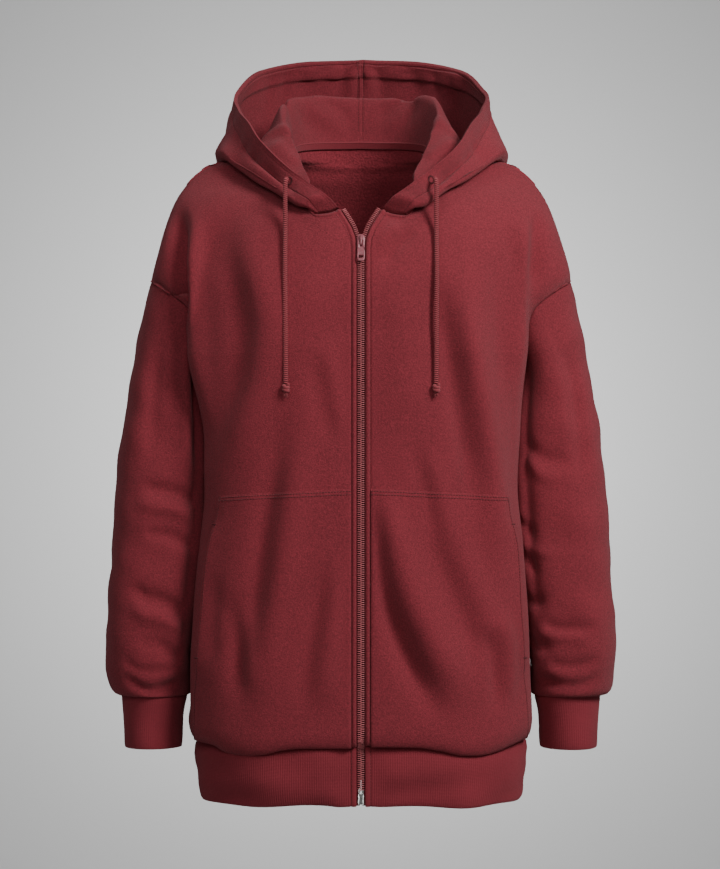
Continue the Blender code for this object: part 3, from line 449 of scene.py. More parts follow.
def ripple(points, folds, wrap=None):
    """Height of folds at points of a cloth laid flat, which may close round at a wrap.

    Each fold is a bell of the distance to its line, faded along the first and last 0.3 of the line.
    """
    total = np.zeros(points.shape[:-1])
    for wide, high, *path in folds:
        line = smooth_line(path, 40)
        start, step = line[:-1], np.diff(line, axis=0)
        size = (step**2).sum(-1) + 1e-9
        best = np.full(total.shape, 1e9)
        along = np.zeros(total.shape)
        for k in range(len(step)):
            offset = points - start[k]
            if wrap:
                offset[..., 0] = (offset[..., 0] + wrap / 2) % wrap - wrap / 2
            s = np.clip((offset * step[k]).sum(-1) / size[k], 0, 1)
            d = ((offset - s[..., None] * step[k]) ** 2).sum(-1)
            closer = d < best
            best = np.where(closer, d, best)
            along = np.where(closer, (k + s) / len(step), along)
        fade = ease(along / 0.3) * ease((1 - along) / 0.3)
        total += high * np.exp(-best / wide**2) * fade
    return total


def swell(points, seed, size, height):
    """Gentle unevenness: nine sine waves of mixed lengths about a size, in mixed directions."""
    rng = np.random.default_rng(seed)
    total = np.zeros(points.shape[:-1])
    for _ in range(9):
        way = rng.normal(size=points.shape[-1])
        way /= np.linalg.norm(way) * size * rng.uniform(0.6, 1.7)
        total += np.sin(2 * np.pi * (points @ way + rng.random()))
    return total * height / 3


def normals(grid, loop=False):
    """Unit normals of a grid of points, by differences along both ways."""
    if loop:
        wide = np.concatenate([grid[-1:], grid, grid[:1]])
        along = wide[2:] - wide[:-2]
    else:
        along = np.gradient(grid, axis=0)
    return unit(np.cross(along, np.gradient(grid, axis=1)))


def outward(grid, n, centre):
    """Normals turned away from a centre line."""
    away = grid - np.asarray(centre, float)
    return n if np.sum(n * away) > 0 else -n


def edge_sink(grid, edges, depth, reach):
    """How far the cloth rolls in beside its sewn edges: a bell of the distance along the grid."""
    total = np.zeros(grid.shape[:2])
    for edge in edges:
        axis = 0 if edge in ("first", "last") else 1
        far = lengths(grid, axis)
        if edge in ("last", "bottom"):
            far = far.take([-1], axis) - far
        total = np.maximum(total, depth * bell(far, 0, reach))
    return total


def add(name, data):
    """A new object at the origin, in the scene."""
    obj = bpy.data.objects.new(name, data)
    bpy.context.collection.objects.link(obj)
    return obj


def put_mesh(name, verts, quads, slots, uv=None, part=None):
    """A mesh object at the origin from points in millimetres, quads and the material of each."""
    mesh = bpy.data.meshes.new(name)
    count = quads.shape[1]
    mesh.vertices.add(len(verts))
    mesh.vertices.foreach_set("co", (np.asarray(verts, float) * MM).ravel())
    mesh.loops.add(quads.size)
    mesh.loops.foreach_set("vertex_index", quads.astype(np.int32).ravel())
    mesh.polygons.add(len(quads))
    mesh.polygons.foreach_set("loop_start", np.arange(0, quads.size, count, dtype=np.int32))
    mesh.polygons.foreach_set("loop_total", np.full(len(quads), count, dtype=np.int32))
    for mat in slots:
        mesh.materials.append(mat)
    if part is not None:
        mesh.polygons.foreach_set("material_index", np.asarray(part, dtype=np.int32))
    if uv is not None:
        layer = mesh.uv_layers.new(name="cloth")
        layer.data.foreach_set("uv", (uv * MM).reshape(-1).astype(np.float32))
    mesh.update(calc_edges=True)
    mesh.validate()
    mesh.polygons.foreach_set("use_smooth", np.full(len(mesh.polygons), True))
    return add(name, mesh)


def inside_out(verts, quads):
    """Whether a closed mesh of quads faces inwards, by the sign of the volume inside it."""
    a, b, c, d = [verts[quads[:, k]] for k in range(4)]
    return np.sum(a * np.cross(b, c)) + np.sum(a * np.cross(c, d)) < 0


def face_out(verts, quads):
    """Points and quads of a closed mesh, the quads turned round where they face inwards."""
    return verts, quads[:, ::-1] if inside_out(verts, quads) else quads


def shell(name, outer, inner, slots, loop=False):
    """A closed cloth between two grids: outer face, inner face and a rounded rim along every edge.

    The first material is the outside, the second the inside. The cloth map is the distance along the
    grid both ways.
    """
    n, m = outer.shape[:2]
    index = np.arange(n * m).reshape(n, m)
    u, v = lengths(outer, 0), lengths(outer, 1)
    if loop:
        index = np.concatenate([index, index[:1]])
        last = u[-1] + np.linalg.norm(outer[0] - outer[-1], axis=-1)
        u = np.concatenate([u, last[None]])
        v = np.concatenate([v, v[:1]])
    u = np.broadcast_to(np.median(u, axis=1, keepdims=True), u.shape)
    flat = np.stack([u, v], -1)

    def cells(grid):
        a, b, c, d = grid[:-1, :-1], grid[1:, :-1], grid[1:, 1:], grid[:-1, 1:]
        return np.stack([a, b, c, d], 2).reshape((-1, 4) + grid.shape[2:])

    faces = [cells(index), cells(index)[:, ::-1] + n * m]
    maps = [cells(flat), cells(flat)[:, ::-1]]
    part = [np.zeros(len(faces[0]), int), np.ones(len(faces[1]), int)]
    verts = [outer.reshape(-1, 3), inner.reshape(-1, 3)]
    rims = [(index[:, 0], flat[:, 0]), (index[::-1, -1], flat[::-1, -1])]
    if not loop:
        rims += [(index[0, ::-1], flat[0, ::-1]), (index[-1], flat[-1])]
    base = 2 * n * m
    for rim, place in rims:
        front = verts[0][rim]
        back = verts[1][rim]
        if loop:
            beside = np.roll(front, -1, 0) - np.roll(front, 1, 0)
        else:
            beside = np.gradient(front, axis=0)
        way = unit(np.cross(beside, front - back))
        middle = (front + back) / 2 + way * RIM * np.linalg.norm(front - back, axis=-1, keepdims=True)
        ring = np.arange(len(rim)) + base
        if loop:
            middle = middle[:-1]
            ring[-1] = ring[0]
        else:
            middle[[0, -1]] = (front[[0, -1]] + back[[0, -1]]) / 2
        base += len(middle)
        verts.append(middle)
        for p, q in ((rim, ring), (ring, rim + n * m)):
            faces.append(np.stack([p[1:], p[:-1], q[:-1], q[1:]], -1))
            maps.append(np.stack([place[1:], place[:-1], place[:-1], place[1:]], 1))
            part.append(np.zeros(len(rim) - 1, int))
    verts = np.concatenate(verts)
    faces = np.concatenate(faces)
    maps = np.concatenate(maps)
    if inside_out(verts, faces):
        faces = faces[:, ::-1]
        maps = maps[:, ::-1]
    obj = put_mesh(name, verts, faces, slots, maps, np.concatenate(part))
    if not loop:
        # join the points of the rims that meet in a corner
        obj.modifiers.new("weld", "WELD").merge_threshold = 1e-6
    return obj


# ---------------------------------------------------------------- the forms

ROWS = np.arange(len(BODY))
# Closely spaced rows down to the lowest one and their heights, to look a row up by its height, and
# closely spaced shares, to look up the share of a t
DENSE = np.linspace(0, 25, 2501)
DENSE_Z = curve(ROWS, BODY[:, 0], DENSE)
PHI = np.linspace(0, 1, 2001)


def row_at(height):
    """Row number of the body table at a height."""
    return np.interp(-np.asarray(height, float), -DENSE_Z, DENSE)


def height_at(row):
    """Height of a row number."""
    return curve(ROWS, BODY[:, 0], row)


def body(t, row, back=0):
    """Point on the body's outside: a squared oval, with the shoulder cap and the sleeve's hollow.

    t runs from 0 in the middle to 1 at the side seam, the armhole and the shoulder seam. The last 0.3
    of it are stretched so that they end at the gap of the armhole. As the depth falls from CAP to the
    cap's end, the half width grows from the trunk's to the side's. Beside the sleeve, where the depth
    is less than 72, the oval is pressed in.
    """
    t = np.asarray(t, float)
    row = np.asarray(row, float)
    z, half, trunk, front, rear, square, gap, press = table_at(BODY, row)
    depth = rear if back else front
    end = np.arccos(np.clip(gap / depth, 0, 1) ** (square / 2))
    way = np.clip(np.abs(t), 0, 1)
    angle = np.minimum(way, 0.7) * np.pi / 2 + np.maximum(way - 0.7, 0) / 0.3 * (end - 0.35 * np.pi)
    deep = depth * np.clip(np.cos(angle), 0, 1) ** (2 / square)
    cap_end = np.maximum(gap, 26 * ease((row - 5) / 6))
    share = np.clip((deep - cap_end) / (CAP - cap_end), 0, 1)
    x = trunk * np.sin(angle) ** (2 / square) + (half - trunk) * (1 - share**2) ** 1.2
    x = x - press * below(deep, 72, 42)
    y = CENTRE_Y + (deep if back else -deep)
    return np.stack(np.broadcast_arrays(np.sign(t) * x, y, z), -1)


def even(phi):
    """The t of a share of the way round that is even in distance."""
    return phi**1.5 * (1.5 - 0.5 * phi)


def even_of(t):
    """The even share of a t."""
    return np.interp(t, even(PHI), PHI)


def t_at(x, row):
    """The t of a distance from the middle, on the broad part of the front."""
    trunk = curve(ROWS, BODY[:, 2], row)
    square = curve(ROWS, BODY[:, 5], row)
    return 2 / np.pi * np.arcsin(np.clip(x / trunk, 0, 1) ** (square / 2))


def zip_edge_x(z):
    """Distance of the front's zip edge from the middle."""
    return np.interp(-np.asarray(z, float), -ZIP_LINE[:, 0], ZIP_LINE[:, 1])


def neck_path(back):
    """The neck seam as t and row numbers, from the middle to the shoulder seam."""
    table = BACK_NECK if back else FRONT_NECK
    x, z = table_at(table, np.linspace(0, len(table) - 1, 121))
    row = row_at(z)
    sample = np.linspace(0, 1, 801)
    wide = np.maximum.accumulate(body(sample[None, :], row[:, None], back)[..., 0], axis=1)
    t = np.array([np.interp(x[k], wide[k], sample) for k in range(len(x))])
    t[-1] = 1
    return np.maximum.accumulate(t), row


def even_rows(first, last, t, step, fine=(False, False)):
    """Row numbers that are evenly spaced along a line of constant t."""
    dense = np.linspace(first, last, 801)
    s = lengths(body(t, dense))
    return np.interp(spread(s[-1], step, *fine), s, dense)


SHOULDER_ROWS = even_rows(SHOULDER, TIP, 1, 4.4, (True, False))
ARMHOLE_ROWS = even_rows(TIP, ARMPIT, 1, 4.2)
LOWER_ROWS = even_rows(ARMPIT, HEM_SEAM, 0.35, 4.4, (False, True))
UPPER_ROWS = np.concatenate([SHOULDER_ROWS, ARMHOLE_ROWS[1:]])
PLACKET_STEPS = np.array([0, 0.5, 1.3, 2.6, 4.0, 5.0, 5.6, 6.2, 7.0, 8.4, 10.5])
PLACKET_COLUMN = int(np.argmin(np.abs(PLACKET_STEPS - PLACKET)))


def panel_grid(back):
    """t and row of a fine grid on one half of the front or back, columns from the middle outward."""
    neck_t, neck_row = neck_path(back)
    to_side = 280  # about the way from the middle to the side
    rest = spread(to_side, 4.4, False, True) / to_side

    def columns(line_row):
        if back:
            return even(rest[:, None] + 0 * line_row[None, :])
        x = zip_edge_x(height_at(line_row))[None, :] + PLACKET_STEPS[:, None]
        near = even_of(t_at(x, line_row[None, :]))
        far = near[-1:] + (1 - near[-1:]) * rest[1:, None]
        return even(np.concatenate([near, far]))

    first = columns(neck_row[:1])[:, 0]
    top = np.interp(first, neck_t, neck_row)
    down = (UPPER_ROWS - SHOULDER) / (ARMPIT - SHOULDER)
    row = top[:, None] + (ARMPIT - top[:, None]) * down[None, :]
    row = np.concatenate([row, np.broadcast_to(LOWER_ROWS[1:], (len(top), len(LOWER_ROWS) - 1))], 1)
    row[-1, : len(UPPER_ROWS)] = UPPER_ROWS
    t = columns(row[0])
    t[:, 0] = first
    return t, row


def front_height(points):
    """How far the folds lift the front at points in their real place, calm at zip, neck and hem."""
    x, z = points[..., 0], points[..., 2]
    calm = ease((np.abs(x) - 12) / 22) * below(z, -36, 40) * above(z, -662, 26)
    return (ripple(points[..., [0, 2]], FRONT_FOLDS) + swell(points, 3, 90, 0.9)) * calm


def back_height(points):
    """How far the folds lift the back, calm at the neck and the hem."""
    calm = below(points[..., 2], 20, 60) * above(points[..., 2], -662, 26)
    return (ripple(points[..., [0, 2]], BACK_FOLDS) + swell(points, 5, 95, 1.1)) * calm


def hang(points, back):
    """How far down the cloth sags over the hem, unevenly."""
    table = BLOUSE_BACK if back else BLOUSE
    amount = curve(table[:, 0], table[:, 1], points[..., 0])
    return amount * below(points[..., 2], -596, 52)


def side_calm(t):
    """Fade folds towards the side seam and the armhole, where two cloths share an edge."""
    return ease((1 - np.abs(t)) / 0.035)


def relax(base, t):
    """Even out the bend beside the shoulder tip: each point moves to the middle of its neighbours."""
    share = ease((np.abs(t) - 0.5) / 0.2) * ease((1 - np.abs(t)) / 0.05)
    share = share * bell(base[..., 2], -138, 26)
    for _ in range(50):
        middle = (base[:, :-2] + base[:, 2:]) / 2
        base = base.copy()
        base[:, 1:-1] += (middle - base[:, 1:-1]) * 0.5 * share[:, 1:-1, None]
    return base


def hung(base, n, lift, back):
    """A panel moved out by its lift and sagged over the hem, and its normals."""
    grid = base + n * lift[..., None]
    grid[..., 2] += hang(base, back)
    return grid, outward(grid, normals(grid), CENTRE)


def front_surface(side):
    """Outer grid of a front with its folds, and its normals.

    Two soft welts stand up, one along the zip edge and one along the neck, each with a groove where
    it is stitched down. They fade out at the hem.
    """
    t, row = panel_grid(0)
    base = flip(relax(body(t, row), t), side)
    n = outward(base, normals(base), CENTRE)
    z = base[..., 2]
    from_zip = zip_distance(base)
    from_neck = lengths(base, 1)
    welt = 1.4 * bell(from_zip, 2.7, 2.2) - 1.3 * bell(from_zip, PLACKET, 0.8)
    welt = welt + 1.1 * bell(from_neck, 3.6, 2.0) - 1.0 * bell(from_neck, 7.2, 1.1)
    lift = front_height(base) * side_calm(t)
    lift = lift + welt * above(z, -660, 6) - edge_sink(base, ["first"], 0.7, 0.9)
    lift = lift - edge_sink(base, ["last", "top"], *SEAM_SINK) * above(z, -655, 10)
    return hung(base, n, lift, 0)


def zip_distance(points):
    """Distance of a point of the front from the zip edge at its height."""
    return np.abs(points[..., 0]) - zip_edge_x(points[..., 2])


def back_surface():
    """Outer grid of the whole back with its folds, and its normals."""
    t, row = panel_grid(1)
    base = both_halves(relax(body(t, row, 1), t))
    t = np.concatenate([t[::-1][:-1], t])
    n = outward(base, normals(base), CENTRE)
    lift = back_height(base) * side_calm(t)
    lift = lift - edge_sink(base, ["first", "last", "top"], *SEAM_SINK) * above(base[..., 2], -655, 10)
    return hung(base, n, lift, 1)


def neck_ring():
    """Azimuth, distance and height along the neck edge of the panels, from the zip to the back."""
    edge = []
    for back in (0, 1):
        t, row = panel_grid(back)
        edge.append(body(t[:, 0], row[:, 0], back))
    line = np.concatenate([edge[0], edge[1][::-1][1:]])
    line = resample(line, np.linspace(0, lengths(line)[-1], 1500))
    return azimuth_of(line), np.hypot(line[:, 0], line[:, 1]), line[:, 2]


def azimuth_of(points):
    """Angle round the neck axis in degrees, from the front."""
    return np.degrees(np.arctan2(points[..., 0], -points[..., 1]))


NECK_RING = neck_ring()


def neck_at(azimuth, k):
    """Distance (k 1) or height (k 2) of the neck edge at an azimuth."""
    return np.interp(azimuth, NECK_RING[0], NECK_RING[k])


def hood_point(u, v):
    """Point on the hood's outside: u is the row of the table, v runs from neck seam 0 to rim 6."""
    u, v = np.broadcast_arrays(np.asarray(u, float), np.asarray(v, float))
    rows = np.arange(len(HOOD))
    wall_az = curve(rows, HOOD[:, 0], u)
    rim_az = curve(rows, HOOD[:, 1], u)
    azimuth = wall_az + (rim_az - wall_az) * curve(np.arange(7), LEAN, v)
    table = HOOD.copy()
    radius, height = [neck_at(wall_az, 1)], [neck_at(wall_az, 2)]
    for k in range(1, 7):
        start = HOOD[0, 0] + (HOOD[0, 1] - HOOD[0, 0]) * LEAN[k]
        table[0, 2 * k : 2 * k + 2] = neck_at(start, 1), neck_at(start, 2)
        radius.append(curve(rows, table[:, 2 * k], u))
        height.append(curve(rows, table[:, 2 * k + 1], u))
    r = np.where(u <= 0, neck_at(azimuth, 1), curve_each(np.stack(radius), v))
    z = np.where(u <= 0, neck_at(azimuth, 2), curve_each(np.stack(height), v))
    a = np.radians(azimuth)
    return np.stack([r * np.sin(a), -r * np.cos(a), z], -1)


HOOD_V = np.concatenate([
    [0, 0.03, 0.08, 0.15], np.linspace(0.25, 2.5, 26), np.linspace(2.58, 3.6, 20),
    np.linspace(3.7, 4.9, 20), [4.95, 4.98, 5.0, 5.02, 5.05, 5.12], np.linspace(5.2, 5.74, 7),
    [5.76, 5.78, 5.8, 5.84, 5.86, 5.88, 5.9, 5.94, 5.97, 5.99, 6],
])
CASING_LINE = int(np.argmin(np.abs(HOOD_V - CASING_V)))


def hood_normals(grid):
    """Unit normals of the hood's grid, turned to its outside."""
    n = normals(grid)
    return -n if n[-1, -1, 1] < 0 else n


def hood_surface(side):
    """Outer grid, inner grid and normals of one half of the hood, its turned edge thicker.

    The casing puffs out between its seam and the rim and is gathered into small pleats, which are
    deepest beside the middle of the back. The wall is thinner in the tight fold and at the front end.
    """
    dense = np.linspace(0, len(HOOD) - 1, 801)
    s = lengths(hood_point(dense, 4.0))
    u = np.interp(spread(s[-1], 4.6, False, True), s, dense)
    u = np.unique(np.concatenate([u, np.linspace(0, 1.2, 7)]))
    to_middle = lengths(hood_point(u, 4.5))
    to_middle = (to_middle[-1] - to_middle)[:, None]
    u, v = u[:, None], HOOD_V[None, :]
    base = hood_point(u, v)
    n = hood_normals(base)
    flat = np.stack(np.broadcast_arrays(u * 30, v * 30), -1)
    folds = HOOD_LEFT_FOLDS if side > 0 else HOOD_RIGHT_FOLDS
    calm = ease((u - 0.8) / 1.6) * ease(v / 0.5) * ease((12 - u) / 0.4)
    lift = (ripple(flat, folds) + swell(base * [side, 1, 1], 7 + side, 60, 0.7)) * calm
    seam = bell(v, CASING_V, 0.045) * ease(u / 0.8)
    for line in EDGE_LINES:
        seam = seam + 0.4 * bell(v, line, 0.022) * ease(u / 0.8)
    seam = seam + 0.9 * bell(to_middle, 0, 1.5)
    pleat = np.sin(to_middle / 5.2 + 1.6 * v + 1.5 * np.sin(to_middle / 17)) * ease(to_middle / 4)
    fade = 0.35 + 0.65 * bell(to_middle, 0, 60)
    lift = lift + 2.2 * pleat * fade * bell(v, 5.1, 0.42) * ease(u / 2)
    puff = bell(v, 5.45, 0.3) * ease(u / 1.2)
    lift = lift - 0.8 * seam + 0.7 * puff
    lift = lift - edge_sink(base, ["last", "top"], 1.0, 1.8)
    grid = base + n * lift[..., None]
    n = hood_normals(grid)
    n[-1, :, 0] = 0
    n = unit(n)
    turned = ease((v - CASING_V) / 0.06) * ease(u / 1.2)
    bend = bell(v, 3.15, 0.55) * (1 - ease((u - 3.6) / 2.4))
    end = (1 - ease(u / 1.3)) * ease((v - 2.4) / 0.6)
    thick = FLEECE - 1.2 * np.maximum(bend, end) + (CASING - FLEECE) * turned
    turn = np.clip((v - 5.86) / 0.14, 0, 1) * ease(u / 1.2)
    thick = thick * (0.2 + 0.8 * np.sqrt(1 - 0.98 * turn**2))
    groove = 0.7 * seam * (1 - turn) + edge_sink(base, ["last"], 0.8, 1.4)
    inner = grid - n * (thick - groove)[..., None]
    grid[-1, :, 0] = inner[-1, :, 0] = 0.03
    return flip(grid, side), flip(inner, side), flip(n, side)


def armhole_ring():
    """Points round the left armhole: shoulder tip, front, armpit, back, and their angles."""
    first = len(SHOULDER_ROWS) - 1
    last = len(UPPER_ROWS)
    edge = [body(1.0, UPPER_ROWS[first:last], back) for back in (0, 1)]
    points = np.concatenate([edge[0], edge[1][::-1][1:-1]])
    s = lengths(edge[0])
    front = np.pi * s / s[-1]
    return points, np.concatenate([front, 2 * np.pi - front[::-1][1:-1]])


def sleeve_point(s, angle):
    """Point on a sleeve's outside: s is the row of the table, angle runs from the outside forward."""
    cx, cy, cz, wide, deep, tilt = table_at(SLEEVE, s)
    tilt = np.radians(tilt)
    square = 2 + np.where(np.cos(angle) < 0, 1.9, 0.3) * ease(s / 3) * ease((9.5 - s) / 2)
    across = wide * power_of(np.cos(angle), 2 / square)
    x = cx + across * np.cos(tilt)
    z = cz + across * np.sin(tilt)
    y = cy - deep * power_of(np.sin(angle), 2 / square)
    return np.stack(np.broadcast_arrays(x, y, z), -1)


def sleeve_surface(side):
    """Outer grid of a sleeve with its folds, and its normals, round from the outside forward.

    The first rows are drawn to the armhole of the body. Where the sleeve lies against the body its
    folds only go inwards, and near the cuff they fade there.
    """
    points, angle = armhole_ring()
    dense = np.linspace(0, len(SLEEVE) - 1, 801)
    s = lengths(sleeve_point(dense, 0.6))
    s = np.interp(spread(s[-1], 4.6), s, dense)
    angle = angle[:, None]
    free = sleeve_point(s[None, :], angle)
    start = sleeve_point(0 * s[None, :], angle)
    fade = (1 - ease(s / 1.6))[None, :, None]
    base = free + (points[:, None] - start) * fade
    n = outward(base, normals(base, True), base.mean(axis=0, keepdims=True))
    scale = 0.9
    folds = [
        (wide, high) + tuple((a * scale, z) for a, z in path)
        for wide, high, *path in (SLEEVE_LEFT_FOLDS if side > 0 else SLEEVE_RIGHT_FOLDS)
    ]
    flat = np.stack([np.broadcast_to(np.degrees(angle) * scale, base.shape[:2]), base[..., 2]], -1)
    calm = ease(s / 0.9) * ease((12 - s) / 1.2)
    lift = (ripple(flat, folds, 360 * scale) + swell(base * [side, 1, 1], 11 + side, 55, 0.9)) * calm
    lift = np.where(np.cos(angle) < -0.6, np.minimum(lift, 0.8), lift)
    beside = ease((-0.55 - np.cos(angle)) / 0.3) * below(base[..., 2], -540, 30)
    lift = lift * (1 - 0.85 * beside)
    lift = lift - edge_sink(base, ["top"], *SEAM_SINK)
    grid = base + n * lift[..., None]
    n = outward(grid, normals(grid, True), grid.mean(axis=0, keepdims=True))
    return flip(grid, side), flip(n, side)


def ribs(distance, pitch):
    """Height of rib knit: round wales with narrow furrows between them."""
    return np.sqrt(np.clip(1 - (2 * np.mod(distance / pitch, 1) - 1) ** 2 * 0.96, 0, 1)) - 0.7


def cuff_surface(side):
    """Outer grid and normals of a cuff: an oval in fine rib, with a slow wave round it."""
    wales, long, last = 92, 67, len(CUFF) - 1
    angle = circle(wales * 6)[:, None]
    dense = np.linspace(0, last, 101)
    share = np.interp(spread(long, 4.5, False, True), [0, long], [0, 1])
    z, cx, wide, deep = [curve(dense / last, column, share) for column in table_at(CUFF, dense)]
    c, t = np.cos(angle), np.sin(angle)
    ring = lengths(np.concatenate([34 * c, 40 * t], -1))[:, None]
    lift = 0.42 * ribs(ring / ring[-1] * wales, 1.0) * above(z, -672, 1.5)
    lift = lift + 0.8 * np.sin(3 * angle + 1.1) * np.sin((z + 640) / 14)
    n = unit(np.stack([c / wide, -t / deep, 0 * c + 0 * z], -1))
    grid = np.stack([cx + wide * c, CUFF_Y - deep * t, z + 0 * c], -1) + n * lift[..., None]
    return flip(grid, side), flip(n, side)


def hem_surface():
    """Outer grid and normals of the hem rib: a squared oval, open at the zip.

    Round wales run all the way but for a plain facing with one groove beside the zip. The band bellies
    out, waves gently and dips at two places below the pockets.
    """
    square, long = 2.7, 73
    place = np.interp(spread(long, 4.6, False, True), [0, long], [0, len(HEM) - 1])
    z, wide, front, rear = [column[None, :] for column in table_at(HEM, place)]
    top, low = HEM[0, 0], HEM[-1, 0]

    def ring(angle, w, f, r):
        x = w * power_of(np.sin(angle), 2 / square)
        y = -np.where(np.cos(angle) > 0, f, r) * power_of(np.cos(angle), 2 / square)
        return x, y + CENTRE_Y

    start = np.arcsin((ZIP_HALF / HEM[2, 1]) ** (square / 2))
    angle = start + (2 * np.pi - 2 * start) * np.linspace(0, 1, 4001)
    s = lengths(np.stack(ring(angle, *HEM[2, 1:]), -1))
    total = s[-1]
    facing = 7
    wales = int(round((total - 2 * facing) / 2.5))
    plain = np.array([0, 0.5, 1.3, 2.6, 4.2, 5.6, 6.3])
    ribbed = np.linspace(facing, total - facing, wales * 4 + 1)
    along = np.concatenate([plain, ribbed, total - plain[::-1]])[:, None]
    x, y = ring(np.interp(along, s, angle), wide, front, rear)
    base = np.stack(np.broadcast_arrays(x, y, z), -1)
    base[0, :, 0] = ZIP_HALF
    base[-1, :, 0] = -ZIP_HALF
    n = outward(base, normals(base), CENTRE)
    inside = (along > facing) & (along < total - facing)
    near = np.minimum(along, total - along)
    lift = 0.62 * ribs(along - facing, (total - 2 * facing) / wales) * inside * above(z, low, 1.5)
    lift = lift + 0.6 * bell(near, 2.8, 2.2) - 0.8 * bell(near, 6.3, 0.6)
    lift = lift + 4.5 * below(z, top, 22) * above(z, low - 2, 40) * ease((near - 6) / 40)
    wave = swell(np.stack(np.broadcast_arrays(along, z * 2.0), -1), 21, 70, 1.5)
    lift = lift + wave * ease((near - 6) / 30)
    grid = base + n * lift[..., None]
    ahead = base[:, 0, 0]
    dip = 5.0 * bell(ahead, -138, 40) + 4.0 * bell(ahead, 132, 36)
    bottom = swell(np.concatenate([along, along * 0], -1), 22, 110, 0.9)
    bottom = bottom * ease((near[:, 0] - 4) / 20) - dip
    grid[..., 2] += bottom[:, None] * below(z, -660, 60)
    return grid, n


def pocket_surface(side):
    """Outer grid of a pocket on the folded front, the points of the front below it, and its normals.

    The pocket follows the front's own points and folds. Its mouth at the side stands up a little, and
    its sewn edges roll in, with two grooves below the top edge and one beside the mouth.
    """
    down = spread(290, 4.4) / 290
    across = spread(170, 4.4)[:, None] / 170
    top = 19 + 0.13 * across
    row = top + (25 - top) * down[None, :]
    z = height_at(row)
    outer_x = np.interp(-z, -POCKET[:, 0], POCKET[:, 1])
    edge = even_of(t_at(outer_x, row))
    first = even_of(t_at(zip_edge_x(z) + PLACKET + 0.3, row))
    t = even(first + (edge - first) * across)
    base = flip(body(t, row), side)
    n = outward(base, normals(base), CENTRE)
    lift = front_height(base) * side_calm(t)
    under, n = hung(base, n, lift + 0.3, 0)
    from_mouth = np.linalg.norm(base - base[-1:], axis=-1)
    from_top = lengths(base[0])[None, :]
    mouth = below(z, -400, 26) * above(z, -580, 14)
    under = under + n * (3.0 * bell(from_mouth, 0, 11) * mouth)[..., None]
    rise = 1.7 - edge_sink(base, ["first", "bottom"], 1.1, 1.2)
    rise = rise - edge_sink(base, ["top"], 1.45, 2.0) - edge_sink(base, ["last"], 0.5, 1.2)
    rise = rise - 0.9 * bell(from_top, 1.9, 0.55) - 0.9 * bell(from_top, 4.6, 0.55)
    rise = rise - 0.6 * bell(from_mouth, 6.5, 0.8)
    return under + n * rise[..., None], under, n


def tape_path():
    """Front face of the zip tape at the zip edge, from the neck to the hem."""
    z = np.concatenate([np.arange(-59, -110, -2.5), np.arange(-112, -640, -6.0)])
    row = row_at(z)
    edge = body(t_at(zip_edge_x(z), row), row)
    edge[:, 0] = zip_edge_x(z)
    edge[:, 1] += FLEECE + 0.5
    low = np.stack([np.full(len(ZIP_HEM), ZIP_HALF), ZIP_HEM[:, 1], ZIP_HEM[:, 0]], -1)
    return np.concatenate([edge, low])


# ---------------------------------------------------------------- finishes


class Val:
    """A number in a material: arithmetic on it adds Math nodes."""

    def __init__(self, finish, socket):
        self.finish = finish
        self.socket = socket

    def math(self, kind, *numbers, clamp=False):
        """A Math node on some numbers or links."""
        settings = {"operation": kind, "use_clamp": clamp}
        return Val(self.finish, self.finish.node("ShaderNodeMath", settings, dict(enumerate(numbers))))

    def __add__(self, other):
        return self.math("ADD", self, other)

    def __mul__(self, other):
        return self.math("MULTIPLY", self, other)

    def __sub__(self, other):
        return self.math("SUBTRACT", self, other)

    def __rsub__(self, other):
        return self.math("SUBTRACT", other, self)

    __radd__ = __add__
    __rmul__ = __mul__

    def waves(self, pitch):
        """Sine waves, one in every pitch."""
        return (self * (2 * math.pi / pitch)).sine()

    def sine(self):
        return self.math("SINE", self)

    def clamped(self):
        return self.math("ADD", self, 0.0, clamp=True)


